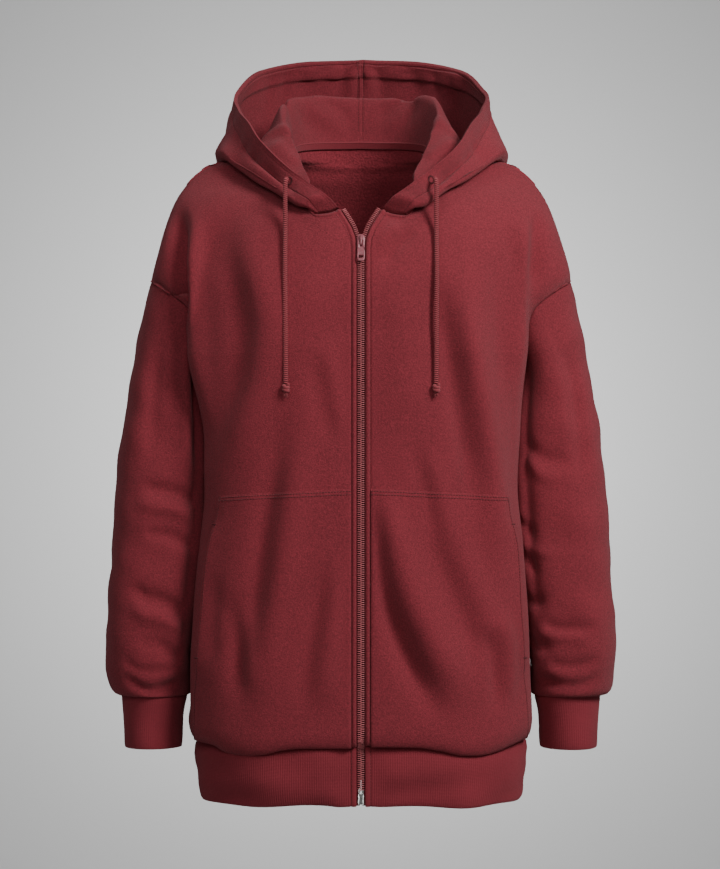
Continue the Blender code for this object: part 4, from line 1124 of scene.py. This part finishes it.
class Finish:
    """A material, with one method that adds any node."""

    def __init__(self, name, colour, rough, **sockets):
        self.colour = colour
        self.mat = bpy.data.materials.new(name)
        self.mat.use_nodes = True
        self.tree = self.mat.node_tree
        self.shader = self.tree.nodes["Principled BSDF"]
        self.shader.inputs["Base Color"].default_value = (*colour, 1)
        self.shader.inputs["Roughness"].default_value = rough
        self.mat.diffuse_color = (*colour, 1)
        for key, value in sockets.items():
            self.shader.inputs[key.replace("_", " ")].default_value = value

    def node(self, kind, settings=None, sockets=None, output=0):
        """The output of a new node of a type, made with its settings first and then its sockets."""
        node = self.tree.nodes.new(kind)
        for key, value in (settings or {}).items():
            setattr(node, key, value)
        for key, value in (sockets or {}).items():
            if isinstance(value, Val):
                value = value.socket
            if isinstance(value, bpy.types.NodeSocket):
                self.tree.links.new(value, node.inputs[key])
            else:
                node.inputs[key].default_value = value
        return node.outputs[output]

    def place(self):
        """The object's own coordinates, in metres."""
        return self.node("ShaderNodeTexCoord", output="Object")

    def cloth_map(self):
        """Distance across and along the cloth, in metres."""
        place = self.node("ShaderNodeUVMap", {"uv_map": "cloth"})
        across = self.node("ShaderNodeSeparateXYZ", None, {0: place})
        return Val(self, across), Val(self, across.node.outputs[1])

    def noise(self, vector, scale, detail=2.0, rough=0.5):
        """Soft random grains, about one in every 1 / scale metres."""
        sockets = {"Vector": vector, "Scale": scale, "Detail": detail, "Roughness": rough}
        return Val(self, self.node("ShaderNodeTexNoise", None, sockets))

    def set(self, name, value):
        """Link a value or a colour to a socket of the shader."""
        self.tree.links.new(value.socket if isinstance(value, Val) else value, self.shader.inputs[name])

    def colours(self, tone, dark, light):
        """Base colour between two colours by a tone, clamped to run from 0 to 1."""
        ends = {0: tone.clamped(), 6: (*dark, 1), 7: (*light, 1)}
        self.set("Base Color", self.node("ShaderNodeMix", {"data_type": "RGBA"}, ends, output=2))

    def shades(self, tone, dark, light):
        """Base colour between two shades of the finish's own colour."""
        self.colours(tone, shade(self.colour, dark), shade(self.colour, light))

    def bump(self, height, depth, strength):
        """Fine relief of a depth in metres."""
        sockets = {"Height": height, "Distance": depth, "Strength": strength}
        self.set("Normal", self.node("ShaderNodeBump", None, sockets))


def shade(colour, factor):
    """A colour made lighter or darker."""
    return tuple(min(1.0, c * factor) for c in colour)


def soft_finish(name, colour, rough, fuzz, tint, gloss=0.25):
    """A finish of cloth or yarn, with the pale sheen of its fuzz."""
    return Finish(name, colour, rough, Specular_IOR_Level=gloss, Sheen_Weight=fuzz, Sheen_Roughness=0.5,
                  Sheen_Tint=(*tint, 1))


BURGUNDY = (0.222, 0.0255, 0.036)
PINK_FUZZ = (1.0, 0.62, 0.64)
PALE_FUZZ = (1.0, 0.7, 0.7)


def fleece(name, colour, inside=False):
    """Sweatshirt fleece: heathered fine knit outside, or the brushed reverse with its small pebbles."""
    finish = soft_finish(name, colour, 0.92, 0.12, PINK_FUZZ)
    place = finish.place()
    across, along = finish.cloth_map()
    broad = finish.noise(place, 12, 1.0)
    heather = finish.noise(place, 560, 2.0, 0.6)
    speck = finish.noise(place, 1300, 1.0)
    if inside:
        pebble = finish.noise(place, 400, 1.0)
        finish.shades(broad * 0.2 + heather * 1.0 + pebble * 1.2 - 0.75, 0.66, 1.32)
        finish.bump(pebble * 1.2 + heather * 0.6 + speck * 0.3, 0.0007, 0.9)
    else:
        wale = across.waves(0.0013) * along.waves(0.0010)
        finish.shades(broad * 0.25 + heather * 1.9 + speck * 0.5 + wale * 0.06 - 0.82, 0.66, 1.36)
        finish.bump(heather * 1.1 + speck * 0.6 + wale * 0.22, 0.0007, 0.8)
    finish.set("Roughness", heather * 0.12 + 0.84)
    return finish.mat


def rib_knit(name, colour):
    """Rib knit: heathered, with the rows of stitches along every wale."""
    finish = soft_finish(name, colour, 0.9, 0.1, PINK_FUZZ)
    place = finish.place()
    stitch = finish.cloth_map()[1].waves(0.0016)
    broad = finish.noise(place, 18, 2.0)
    heather = finish.noise(place, 700, 2.0, 0.6)
    finish.shades(broad * 0.6 + heather * 0.9 + stitch * 0.06 - 0.3, 0.74, 1.24)
    finish.bump(heather + stitch * 0.35, 0.0004, 0.5)
    return finish.mat


def woven(name, colour):
    """Woven tape: a fine twill of slanted ridges."""
    finish = soft_finish(name, colour, 0.85, 0.1, (1.0, 0.6, 0.62))
    across, along = finish.cloth_map()
    twill = (across + along).waves(0.0011)
    weft = along.waves(0.0007)
    dust = finish.noise(finish.place(), 900, 2.0)
    finish.shades(twill * 0.2 + weft * 0.12 + dust * 0.7 + 0.15, 0.7, 1.25)
    finish.bump(twill * 0.6 + weft * 0.3 + dust * 0.4, 0.0003, 0.6)
    return finish.mat


def yarn(name, colour, fuzz=1.0):
    """Thread or cord: fibres in patches, with a soft fuzz."""
    finish = soft_finish(name, colour, 0.85, 0.2, PALE_FUZZ, 0.3)
    place = finish.place()
    fibre = finish.noise(place, 1300, 3.0, 0.7)
    patch = finish.noise(place, 260, 2.0)
    finish.shades(fibre * 0.9 + patch * 0.5 - 0.25, 0.72, 1.3)
    finish.bump(fibre, 0.0005 * fuzz, 0.7)
    return finish.mat


def stranded(name, colour):
    """Twisted cord: the hollow that winds round it lies deeper, with painted shade in it and painted light on
    its crests.
    """
    finish = soft_finish(name, colour, 0.88, 0.15, PALE_FUZZ)
    around, along = finish.cloth_map()
    fibre = finish.noise(finish.place(), 1300, 3.0, 0.7)
    turn = around * (2 * math.pi / (CORD_ROUND * MM)) - along * (CORD_TWIST * 2 * math.pi / MM)
    hollow = (turn + math.pi / 2).sine()
    # painted shade in the winding hollow and painted light on the crests between its turns
    finish.shades(fibre * 0.8 - hollow * 0.5 + 0.1, 0.3, 1.4)
    finish.bump(fibre - hollow * 0.5, 0.0008, 0.8)
    return finish.mat


def coated(name, colour, rough, metal):
    """Paint or moulded resin on small zip parts, rubbed a little lighter and shinier in patches."""
    finish = Finish(name, colour, rough, Metallic=metal, Coat_Weight=0.25, Coat_Roughness=0.3)
    place = finish.place()
    wear = finish.noise(place, 420, 3.0)
    finish.shades(wear * 1.6 - 0.35, 0.78, 1.25)
    finish.set("Roughness", (wear * 0.3 + rough - 0.12).clamped())
    finish.bump(finish.noise(place, 2600, 1.0), 0.00008, 0.4)
    return finish.mat


def bright(name):
    """Plain bright zip metal, with faint scratches and a darker film in patches."""
    finish = Finish(name, (0.78, 0.77, 0.75), 0.25, Metallic=1.0)
    place = finish.place()
    film = finish.noise(place, 600, 3.0)
    line = finish.noise(finish.node("ShaderNodeMapping", None, {0: place, 3: (400, 400, 4000)}), 1.0)
    finish.colours(film * 1.5 - 0.3, (0.5, 0.48, 0.46), (0.82, 0.81, 0.79))
    finish.set("Roughness", (film * 0.25 + line * 0.15 + 0.08).clamped())
    finish.bump(line, 0.00003, 0.4)
    return finish.mat


OUTSIDE = fleece("fleece_outside", BURGUNDY)
# the brushed reverse is made lighter than the outside fleece: painted light, for the light that reaches
# inside the garment
INSIDE = fleece("fleece_inside", shade(BURGUNDY, 1.2), True)
# the hood's inside face is a darker copy of the outside fleece: painted shade inside the hood
LINING = fleece("fleece_hood_inside", shade(BURGUNDY, 0.88))
RIBBED = rib_knit("rib_knit", shade(BURGUNDY, 1.05))
TAPED = woven("zip_tape_weave", shade(BURGUNDY, 1.05))
NECKBAND = woven("neck_tape_weave", shade(BURGUNDY, 1.1))
# thread far darker than the cloth: its darkness is painted shade of the grooves the stitches lie in
THREAD = yarn("sewing_thread", shade(BURGUNDY, 0.45))
CORDED = stranded("cord_strands", (0.33, 0.052, 0.064))
TIED = yarn("cord_yarn", (0.28, 0.042, 0.053), 1.6)
# dark yarn for the cords at the zip's edge: painted shade in the gaps between the teeth
SHADED_BEAD = yarn("zip_cord_painted_shade", shade(BURGUNDY, 0.35))
TEETH = coated("zip_teeth_resin", (0.53, 0.13, 0.145), 0.5, 0.0)
PAINTED = coated("zip_painted_metal", (0.27, 0.066, 0.082), 0.5, 0.15)
SILVER = bright("zip_bright_metal")


# ---------------------------------------------------------------- small repeated pieces


def ring_quads(rings, sides, cap=None):
    """Quads between rings of points that follow each other, and a cap over the first and the last."""
    if cap is None:
        cap = np.array([(j, j + 1, sides - 2 - j, sides - 1 - j) for j in range(sides // 2 - 1)])
    ring = np.arange(sides)
    nxt = np.roll(ring, -1)
    k = np.arange(rings - 1)[:, None] * sides
    quads = np.stack([k + ring, k + nxt, k + sides + nxt, k + sides + ring], -1).reshape(-1, 4)
    return np.concatenate([quads, cap[:, ::-1], cap + (rings - 1) * sides])


def rings_along_x(at, wide, high):
    """Points of rings along X: at each station a ring of widths and heights of its own."""
    return np.stack(np.broadcast_arrays(at[:, None], wide, high), -1).reshape(-1, 3)


def capsule(long, wide, high, sides=6):
    """Rings of a short rounded thread along X, with its quads; the ends close to small rings."""
    at = np.array([-0.5, -0.42, 0.0, 0.42, 0.5]) * long
    fat = np.array([0.25, 0.8, 1.0, 0.8, 0.25])[:, None]
    a = circle(sides)
    cap = np.array([(0, 1, 2, 3), (0, 3, 4, 5)])
    return rings_along_x(at, fat * wide * np.cos(a), fat * high * np.sin(a)), ring_quads(5, sides, cap)


def repeat(template, centres, along, up):
    """Copies of a template at centres, turned so its X lies along one way and its Z up another."""
    verts, quads = template
    along = unit(along)
    side = unit(np.cross(up, along))
    turned = np.stack([along, side, np.cross(along, side)], 1)
    points = centres[:, None] + np.einsum("vk,nkj->nvj", verts, turned)
    faces = quads[None] + (np.arange(len(centres)) * len(verts))[:, None, None]
    return points.reshape(-1, 3), faces.reshape(-1, quads.shape[1])


def join(parts):
    """One mesh from several lists of points and quads."""
    base = 0
    verts, faces = [], []
    for v, f in parts:
        verts.append(v)
        faces.append(f + base)
        base += len(v)
    return np.concatenate(verts), np.concatenate(faces)


def stitch_run(line, up, lift=0.12, wide=0.3):
    """A row of stitches that lie along a line on a cloth, with the cloth's normals."""
    long, gap = 2.5, 0.7
    s = lengths(line)
    count = max(1, int(s[-1] / (long + gap)))
    at = (np.arange(count) + 0.5) * s[-1] / count
    ahead = resample(line, np.minimum(at + 0.8, s[-1])) - resample(line, np.maximum(at - 0.8, 0))
    n = unit(values_at(at, s, up))
    return repeat(capsule(long, wide, wide * 0.8), resample(line, at) + n * lift, ahead, n)


def bar_tack(centre, way, up):
    """A dense bar of threads laid side by side across a short line."""
    long, wide, pitch = 7.0, 1.6, 0.55
    count = int(long / pitch)
    at = (np.arange(count) - (count - 1) / 2) * pitch
    centres = centre + at[:, None] * unit(way) + up * 0.3
    cross = np.broadcast_to(np.cross(up, unit(way)), centres.shape)
    return repeat(capsule(wide, 0.27, 0.3), centres, cross, np.broadcast_to(up, centres.shape))


def fit(obj, node, ridden="garment"):
    """Attach a piece to the body it rides on, and hide the solid that it stands for, if any."""
    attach(obj, ridden)
    if node:
        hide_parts(node)
    return obj


def sewing(name, parts):
    """Rows of stitches joined in one piece that rides on the garment."""
    fit(put_mesh(name, *join(parts), [THREAD]), None)


# ---------------------------------------------------------------- the pieces


def stitches(grid, n, *lines, **look):
    """Rows of stitches along some lines of a cloth's grid."""
    return [stitch_run(grid[line], n[line], **look) for line in lines]


def cloth_piece(name, outer, inner, slots, loop=False):
    """A cloth that replaces its solid."""
    obj = fit(shell(name + "_cloth", outer, inner, slots, loop), name)


def make_body():
    """Fronts, back and pockets, with the rows of stitches that cross them."""
    armhole = slice(len(SHOULDER_ROWS) + 2, len(UPPER_ROWS) - 2)
    grid, n = back_surface()
    cloth_piece("back", grid, grid - n * FLEECE, [OUTSIDE, INSIDE])
    rows = stitches(grid, n, np.s_[SEW, armhole], np.s_[-1 - SEW, armhole])
    for name, side in SIDES:
        grid, n = front_surface(side)
        cloth_piece("front_" + name, grid, grid - n * FLEECE, [OUTSIDE, INSIDE])
        low = int(np.argmax(grid[PLACKET_COLUMN, :, 2] < -652))
        rows += stitches(grid, n, np.s_[PLACKET_COLUMN, SEW:low], np.s_[-1 - SEW, armhole], np.s_[8:, SEW])
        grid, under, n = pocket_surface(side)
        cloth_piece("pocket_" + name, grid, under, [OUTSIDE, INSIDE])
        rows += stitches(grid, n, np.s_[:-3, 3], np.s_[:-3, SEW], wide=0.55)
        rows += stitches(grid, n, np.s_[-1 - SEW, 3:-8], wide=0.5)
        for z in (-411, -561):
            k = np.argmin(np.abs(grid[-4, :, 2] - z))
            rows.append(bar_tack(grid[-5, k], grid[-8, k] - grid[-3, k], n[-5, k]))
    sewing("body_stitches", rows)


def make_hood():
    """Two halves with the turned casing, their stitches and the eyelets of the drawcord."""
    rows = []
    casing, middle_seam, neck_seam = np.s_[4:-2, CASING_LINE], np.s_[-1 - SEW, 4:], np.s_[6:-2, SEW]
    for name, side in SIDES:
        grid, inner, n = hood_surface(side)
        cloth_piece("hood_" + name, grid, inner, [OUTSIDE, LINING])
        rows += stitches(grid, n, casing)
        rows += stitches(inner, -n, casing, middle_seam, lift=0.3)
        rows += stitches(grid, n, middle_seam, neck_seam)
        rows.append(eyelet(grid, n, side))
    sewing("hood_stitches", rows)


def eyelet(grid, n, side):
    """A stitched buttonhole round the point where the drawcord comes out: a ring of short threads."""
    far = np.linalg.norm(grid - flip(CORD[0], side), axis=-1)
    i, k = np.unravel_index(np.argmin(far), far.shape)
    up = n[i, k]
    down = unit(np.array([0, 0, -1]) - up * -up[2])
    across = np.cross(up, down)
    a = np.linspace(0, 2 * np.pi, 30, endpoint=False)[:, None]
    spoke = np.cos(a) * across + np.sin(a) * down
    centre = grid[i, k] + spoke * 3.3 * (1 + 0.25 * np.abs(np.sin(a))) + up * 0.3
    return repeat(capsule(2.2, 0.33, 0.38), centre, spoke, np.broadcast_to(up, centre.shape))


def make_sleeves():
    """Sleeves and cuffs."""
    for name, side in SIDES:
        grid, n = sleeve_surface(side)
        cloth_piece("sleeve_" + name, grid, grid - n * FLEECE, [OUTSIDE, INSIDE],
                    loop=True)
        grid, n = cuff_surface(side)
        cloth_piece("cuff_" + name, grid, grid - n * RIB, [RIBBED, RIBBED],
                    loop=True)


def make_hem():
    """The ribbed hem and its rows of stitches beside the zip."""
    grid, n = hem_surface()
    cloth_piece("hem_rib", grid, grid - n * RIB, [RIBBED, RIBBED])
    sewing("hem_stitches", stitches(grid, n, np.s_[SEW, 1:-2], np.s_[-1 - SEW, 1:-2]))


def make_neck_tape():
    """The tape over the neck seam inside the back, sewn along both edges.

    Each line across it starts 6.2 mm above the seam, straight on from the back's top edge, and runs
    down the back's own points. Both faces of the tape lie inside the wall, and its edges are thinner.
    """
    t, row = panel_grid(1)
    base = both_halves(body(t, row, 1))
    n = outward(base, normals(base), CENTRE)
    keep = np.flatnonzero(np.abs(base[:, 0, 0]) < 82)
    s = np.linspace(0, 1, 9)
    at = -6.2 + 9.4 * s
    outer = np.empty((len(keep), len(s), 3))
    inward = np.empty_like(outer)
    for j, i in enumerate(keep):
        far = lengths(base[i, :12])
        outer[j] = values_at(at, far, base[i, :12])
        outer[j] += np.minimum(at, 0)[:, None] * unit(base[i, 3] - base[i, 0])
        inward[j] = -unit(values_at(at, far, n[i, :12]))
    near = outer + inward * (FLEECE + 0.75)
    far = near + inward * (TAPE - 0.25 * np.abs(2 * s - 1)[None, :, None] ** 6)
    cloth_piece("neck_tape", far, near, [NECKBAND, NECKBAND])
    sewing("neck_tape_stitches", stitches(far, inward, np.s_[2:-2, 1], np.s_[2:-2, -2]))


def make_zip():
    """Tapes, single teeth, slider, pull tab and bottom box."""
    path = tape_path()
    across = np.array([-3.6, -3.0, -1.5, 0, 2.0, 4.0, 5.4, 5.8])
    grid = path[None] + across[:, None, None] * np.array([1.0, 0, 0])
    grid[0, :, 1] += 0.15
    grid[1:3, :, 1] -= 0.2
    back = grid + np.array([0, TAPE, 0])
    for name, side in SIDES:
        cloth_piece("zip_tape_" + name, flip(grid, side), flip(back, side), [TAPED, TAPED])
    for name, side in SIDES:
        make_teeth(name, side, path)
    make_slider()
    y = float(np.interp(714, -path[:, 2], path[:, 1])) - 2.0
    box = rounded_block((0, y, -714), (3.4, 1.5, 6.3), 0.8)
    tip = rounded_block((1.8, y, -706.5), (0.9, 1.0, 3.2), 0.5)
    peg = rounded_block((-1.8, y, -705.5), (0.9, 1.0, 4.0), 0.5)
    fit(put_mesh("zip_box", *join([box, tip, peg]), [SILVER]), "zip_bottom_box")


def make_teeth(name, side, path):
    """The teeth of one tape, those on the wearer's right half a pitch on, and the cords they grip.

    Below the slider each tooth points straight across, and above it across its own slanting tape.
    """
    s = lengths(path)
    count = int((s[-1] - 16) / TOOTH_PITCH)
    at = 2.0 + (np.arange(count) + (0.5 if side < 0 else 0.0)) * TOOTH_PITCH
    centre = resample(path, at)
    tangent = unit(values_at(at, s, np.gradient(path, axis=0)))
    opened = above(centre[:, 2:], -104, 12)
    out = unit(np.array([-1.0, 0, 0]) + tangent * tangent[:, :1] * opened)
    front = unit(np.cross(tangent, out))
    front *= np.sign(-front[:, 1:2])
    middle = centre + out * 3.75 + front * 1.35
    verts, faces = repeat(tooth(), flip(middle, side), flip(out, side), flip(front, side))
    # the cords' dark yarn is painted shade between the teeth
    bead = cord_bead(path, side)
    part = np.repeat([0, 1], [len(faces), len(bead[1])])
    verts, faces = join([(verts, faces[:, ::side]), bead])
    teeth = put_mesh("zip_teeth_" + name, verts, faces, [TEETH, SHADED_BEAD], part=part)
    fit(teeth, "zip_chain_" + name)


def tooth():
    """A moulded tooth along X: a block with a waist and a rounded head, 4.5 long, 0.9 wide, 2.3 deep."""
    x = np.array([-2.7, -2.5, -0.8, 0.3, 1.0, 1.6, 1.8])
    half = np.array([0.32, 0.42, 0.42, 0.34, 0.46, 0.4, 0.2])[:, None]
    deep = np.array([0.7, 1.0, 1.15, 1.1, 1.1, 0.9, 0.5])[:, None]
    a = np.array([(-1, -0.6), (-0.6, -1), (0.6, -1), (1, -0.6), (1, 0.6), (0.6, 1), (-0.6, 1), (-1, 0.6)])
    cap = np.array([(0, 1, 2, 3), (0, 3, 4, 7), (4, 5, 6, 7)])
    return rings_along_x(x, half * a[:, 0], deep * a[:, 1]), ring_quads(len(x), len(a), cap)


def tube(path, radius, sides, twist=None, grain=0.0, strands=3):
    """A closed tube of quads along a path, its radius one number or one for every point.

    With a twist, in turns a millimetre, strands wind round it: between their hollows the radius grows
    by the size of a sine.
    """
    step = unit(np.gradient(path, axis=0))
    side = unit(np.cross(step, np.array([0.0, 1.0, 0.03])))
    up = np.cross(side, step)
    a = circle(sides)
    r = np.broadcast_to(np.reshape(radius, (-1, 1)), (len(path), sides))
    if twist:
        wound = a[None, :] - lengths(path)[:, None] * twist * 2 * np.pi
        r = r * (1 + grain * np.abs(np.sin(strands / 2 * wound)))
    spoke = np.cos(a)[None, :, None] * side[:, None] + np.sin(a)[None, :, None] * up[:, None]
    verts = path[:, None] + r[..., None] * spoke
    return face_out(verts.reshape(-1, 3), ring_quads(len(path), sides))


def cord_bead(path, side):
    """The woven edge of a zip tape that the teeth grip: three thin cords side by side, in a dark yarn that is
    painted shade.
    """
    line = resample(path, np.arange(1.5, lengths(path)[-1] - 14, 1.6))
    return join([tube(flip(line + np.array([-x, -0.35, 0.3]), side), 0.55, 6) for x in (3.5, 2.5, 1.5)])


def rounded_block(centre, half, radius):
    """A block with rounded corners: a sphere of quads whose points are pushed out to a box."""
    a = np.clip(np.linspace(0, np.pi, 13), 0.02, np.pi - 0.02)[:, None]
    b = circle(24) + 0.13
    ball = np.stack(np.broadcast_arrays(np.sin(a) * np.cos(b), np.sin(a) * np.sin(b), np.cos(a)), -1)
    ball = np.sign(ball) * np.minimum(1, np.abs(ball) * 3.0) * (np.abs(ball) > 1e-9)
    verts = ball * (np.asarray(half) - radius) + unit(ball) * radius + np.asarray(centre)
    return face_out(verts.reshape(-1, 3), ring_quads(13, 24))


def plate(outline, hole, y0, y1, eased=0.25):
    """A flat plate with a hole: rings of equal count round the outline and the hole, edges eased."""
    def ring(points, y, grow=0.0):
        moved = points + unit(points - points.mean(0)) * grow
        return np.stack([moved[:, 0], np.full(len(points), y), moved[:, 1]], -1)

    rings = [
        ring(outline, y0, -eased), ring(outline, y0 + eased),
        ring(outline, y1 - eased), ring(outline, y1, -eased),
        ring(hole, y1, eased), ring(hole, y1 - eased), ring(hole, y0 + eased), ring(hole, y0, eased),
    ]
    here = np.arange(8 * len(outline)).reshape(8, -1)
    there = np.roll(here, -1, 0)
    quads = np.stack([here, np.roll(here, -1, 1), np.roll(there, -1, 1), there], -1)
    return face_out(np.concatenate(rings), quads.reshape(-1, 4))


def squircle(half_x, half_z, power, count=40, centre=(0, 0)):
    """A rounded rectangle as points, all round."""
    a = circle(count)
    x = half_x * power_of(np.cos(a), 2 / power)
    z = half_z * power_of(np.sin(a), 2 / power)
    return np.stack([x + centre[0], z + centre[1]], -1)


def lean(points, origin):
    """Turn points of the slider from upright to the slope of the chest, about its middle."""
    c, s = math.cos(SLIDER_LEAN), math.sin(SLIDER_LEAN)
    x, y, z = points[:, 0], points[:, 1], points[:, 2]
    return np.stack([x, y * c + z * s, z * c - y * s], -1) + origin


def make_slider():
    """The slider's two plates, neck, side guides and arched bridge, and the pull tab on its bar."""
    shape = squircle(4.4, 8.4, 3.4)
    shape[:, 0] *= 1 - 0.12 * ease((-shape[:, 1] - 1) / 8)
    pin = squircle(0.5, 0.9, 2, centre=(0, -6.9))
    arch = np.array([
        (0, -3.6, 6.4), (0, -5.4, 6.6), (0, -6.5, 5.6), (0, -6.9, 3.4), (0, -7.0, 0.6), (0, -6.9, -2.2),
        (0, -6.4, -4.3), (0, -5.3, -5.1), (0, -3.6, -5.0),
    ])
    bridge = tube(smooth_line(arch, 33), 0.62, 12)
    bridge[0][:, 0] *= 1.75
    verts, faces = join([
        plate(shape, pin, -4.2, -3.05),
        plate(shape, pin, 1.7, 2.8),
        rounded_block((0, -0.7, 7.3), (1.0, 2.7, 1.2), 0.5),
        rounded_block((-4.0, -2.6, -2.6), (0.42, 1.0, 5.0), 0.3),
        rounded_block((4.0, -2.6, -2.6), (0.42, 1.0, 5.0), 0.3),
        bridge,
    ])
    fit(put_mesh("slider", lean(verts, SLIDER_AT), faces, [PAINTED]), "zip_slider")
    hinge = lean(np.array([(0, -HINGE_OUT, HINGE_UP)]), SLIDER_AT)
    verts, faces = tab_sheet()
    tab = put_mesh("pull_tab", lean(verts, hinge), faces, [PAINTED])
    fit(tab, "zip_pull_tab", "pull_tab")


def tab_sheet():
    """The pull tab: an upper plate round the bridge's slot, a lower one round its hole, and a web.

    Its outline is a long rounded rectangle with a slight waist, narrower at the hinge.
    """
    top, low, count = 0.55, -26.3, 56
    outline = squircle(4.4, (top - low) / 2, 5.0, count, (0, (top + low) / 2))
    z = outline[:, 1].copy()
    outline[:, 0] *= 1 - 0.13 * bell(z, -9, 6) - 0.42 * ease((z + 3.5) / 4)
    upper = np.stack([outline[:, 0], np.maximum(z, -12.0)], -1)
    lower = np.stack([outline[:, 0], np.minimum(z, -11.8)], -1)
    return join([
        plate(upper, squircle(1.55, 4.6, 2.6, count, (0, -4.9)), -0.6, 0.6, 0.2),
        plate(lower, squircle(2.7, 1.6, 4.0, count, (0, -21.3)), -0.6, 0.6, 0.2),
        rounded_block((0, -0.05, -12.4), (3.7, 0.6, 2.6), 0.3),
    ])


def make_cords():
    """Two twisted drawcords with overhand knots and frayed ends.

    On the cloth map, the quads that close the ring go on to its last side instead of back to the first.
    """
    for name, side in SIDES:
        path = smooth_line(flip(CORD, side), 240)
        path = resample(path, np.linspace(0, lengths(path)[-1], CORD_POINTS))
        verts, faces = tube(path, CORD_RADIUS, CORD_SIDES, CORD_TWIST, CORD_GRAIN, strands=1)
        turn = (faces % CORD_SIDES).astype(float)
        closing = turn.max(axis=1, keepdims=True) - turn.min(axis=1, keepdims=True) > CORD_SIDES / 2
        turn = np.where(closing & (turn == 0), CORD_SIDES, turn)
        cloth = np.stack([turn / CORD_SIDES * CORD_ROUND, lengths(path)[faces // CORD_SIDES]], -1)
        cord = put_mesh("drawcord_%s_yarn" % name, verts, faces, [CORDED], uv=cloth)
        fit(cord, "drawcord_" + name)
        knot = make_knot(name, side)


def make_knot(name, side):
    """An overhand knot: one strand that winds twice round itself, and a short frayed tail below it."""
    end = flip(CORD[-1], side)
    s = np.linspace(0, 1, 90)
    wind = s * 2.35 * 2 * np.pi
    x = 2.3 * np.cos(wind) + 0.3
    y = 2.1 * np.sin(wind) * (1 + 0.1 * np.cos(wind))
    loop = np.stack([x, y, -1.2 - 7.4 * s + 0.7 * np.sin(wind)], -1) + end
    loop[:, 1] -= 1.6
    parts = [tube(loop, 1.95, 12, twist=0.16, grain=0.12)]
    rng = np.random.default_rng(31 + side)
    for _ in range(16):
        a = rng.random() * 2 * np.pi
        r = rng.uniform(0.3, 1.7)
        root = end + [r * np.cos(a), -1.6 + r * np.sin(a), -8.5]
        fall = rng.uniform(4.5, 7.5)
        out = r * 0.7 * np.cos(a) + rng.normal() * 0.5
        tip = root + [out, r * 0.5 * np.sin(a) + rng.normal() * 0.3, -fall]
        line = smooth_line([root, (root + tip) / 2 + rng.normal(size=3) * 0.3, tip], 7)
        parts.append(tube(line, np.linspace(0.5, 0.2, 7), 6))
    knot = put_mesh("drawcord_%s_tied_end" % name, *join(parts), [TIED])
    return fit(knot, "drawcord_knot_" + name)


# ---------------------------------------------------------------- camera, light and floor


def make_stage():
    """Pale sweep of floor and wall, soft lamps and the camera in front of the garment."""
    camera = add("camera", bpy.data.cameras.new("camera"))
    away, sensor, pixels, pixel = 3.0, 36, 869, 1.15 * MM
    camera.location = (-0.001, -away, -0.31)
    camera.rotation_euler = (math.pi / 2, 0, 0)
    camera.data.sensor_fit = "VERTICAL"
    camera.data.sensor_height = sensor
    camera.data.lens = sensor * away / (pixels * pixel)
    camera.data.clip_end = 60
    bpy.context.scene.camera = camera
    bend = np.linspace(0, 1, 61)[1:] * np.pi / 2
    run = np.concatenate([np.linspace(-4, 3.8, 12), 3.8 + 1.0 * np.sin(bend), [4.8, 4.8]])
    rise = np.concatenate([np.zeros(12), 1.0 * (1 - np.cos(bend)), [4.5, 7.0]]) - 2.9
    grid = np.stack(np.broadcast_arrays(np.linspace(-7, 7, 9)[:, None], run, rise), -1) / MM
    index = np.arange(9 * len(run)).reshape(9, -1)
    quads = np.stack([index[:-1, :-1], index[1:, :-1], index[1:, 1:], index[:-1, 1:]], -1).reshape(-1, 4)
    finish = Finish("pale_sweep", (0.62, 0.62, 0.62), 0.9, Specular_IOR_Level=0.1)
    put_mesh("floor", grid.reshape(-1, 3), quads, [finish.mat])
    for name, place, aim, power, size in (
        ("key", (1.9, -2.0, 1.5), (0.0, 0, -0.3), 100, 1.2),
        ("front", (-0.2, -1.9, 0.5), (0, 0.1, -0.2), 8.5, 0.9),
        ("fill", (-2.4, -1.6, 0.3), (0, 0, -0.35), 2, 2.0),
        ("top", (-0.4, -0.3, 2.4), (0, 0.1, -0.2), 10, 1.4),
        ("wall", (0, 3.15, -0.3), (0, 4.8, -0.3), 50, 0.4),
    ):
        lamp = bpy.data.lights.new(name, "AREA")
        lamp.shape = "DISK"
        lamp.energy = power
        lamp.size = size
        obj = add(name, lamp)
        obj.location = place
        x, y, z = np.array(aim) - np.array(place)
        obj.rotation_euler = (math.atan2(math.hypot(x, y), -z), 0, math.atan2(-x, y))
    world = bpy.data.worlds.new("soft_room")
    world.use_nodes = True
    light = world.node_tree.nodes["Background"]
    light.inputs[0].default_value = (1, 1, 1, 1)
    light.inputs[1].default_value = 0.14
    bpy.context.scene.world = world


make_stage()
make_cords()
make_body()
make_hood()
make_sleeves()
make_hem()
make_neck_tape()
make_zip()
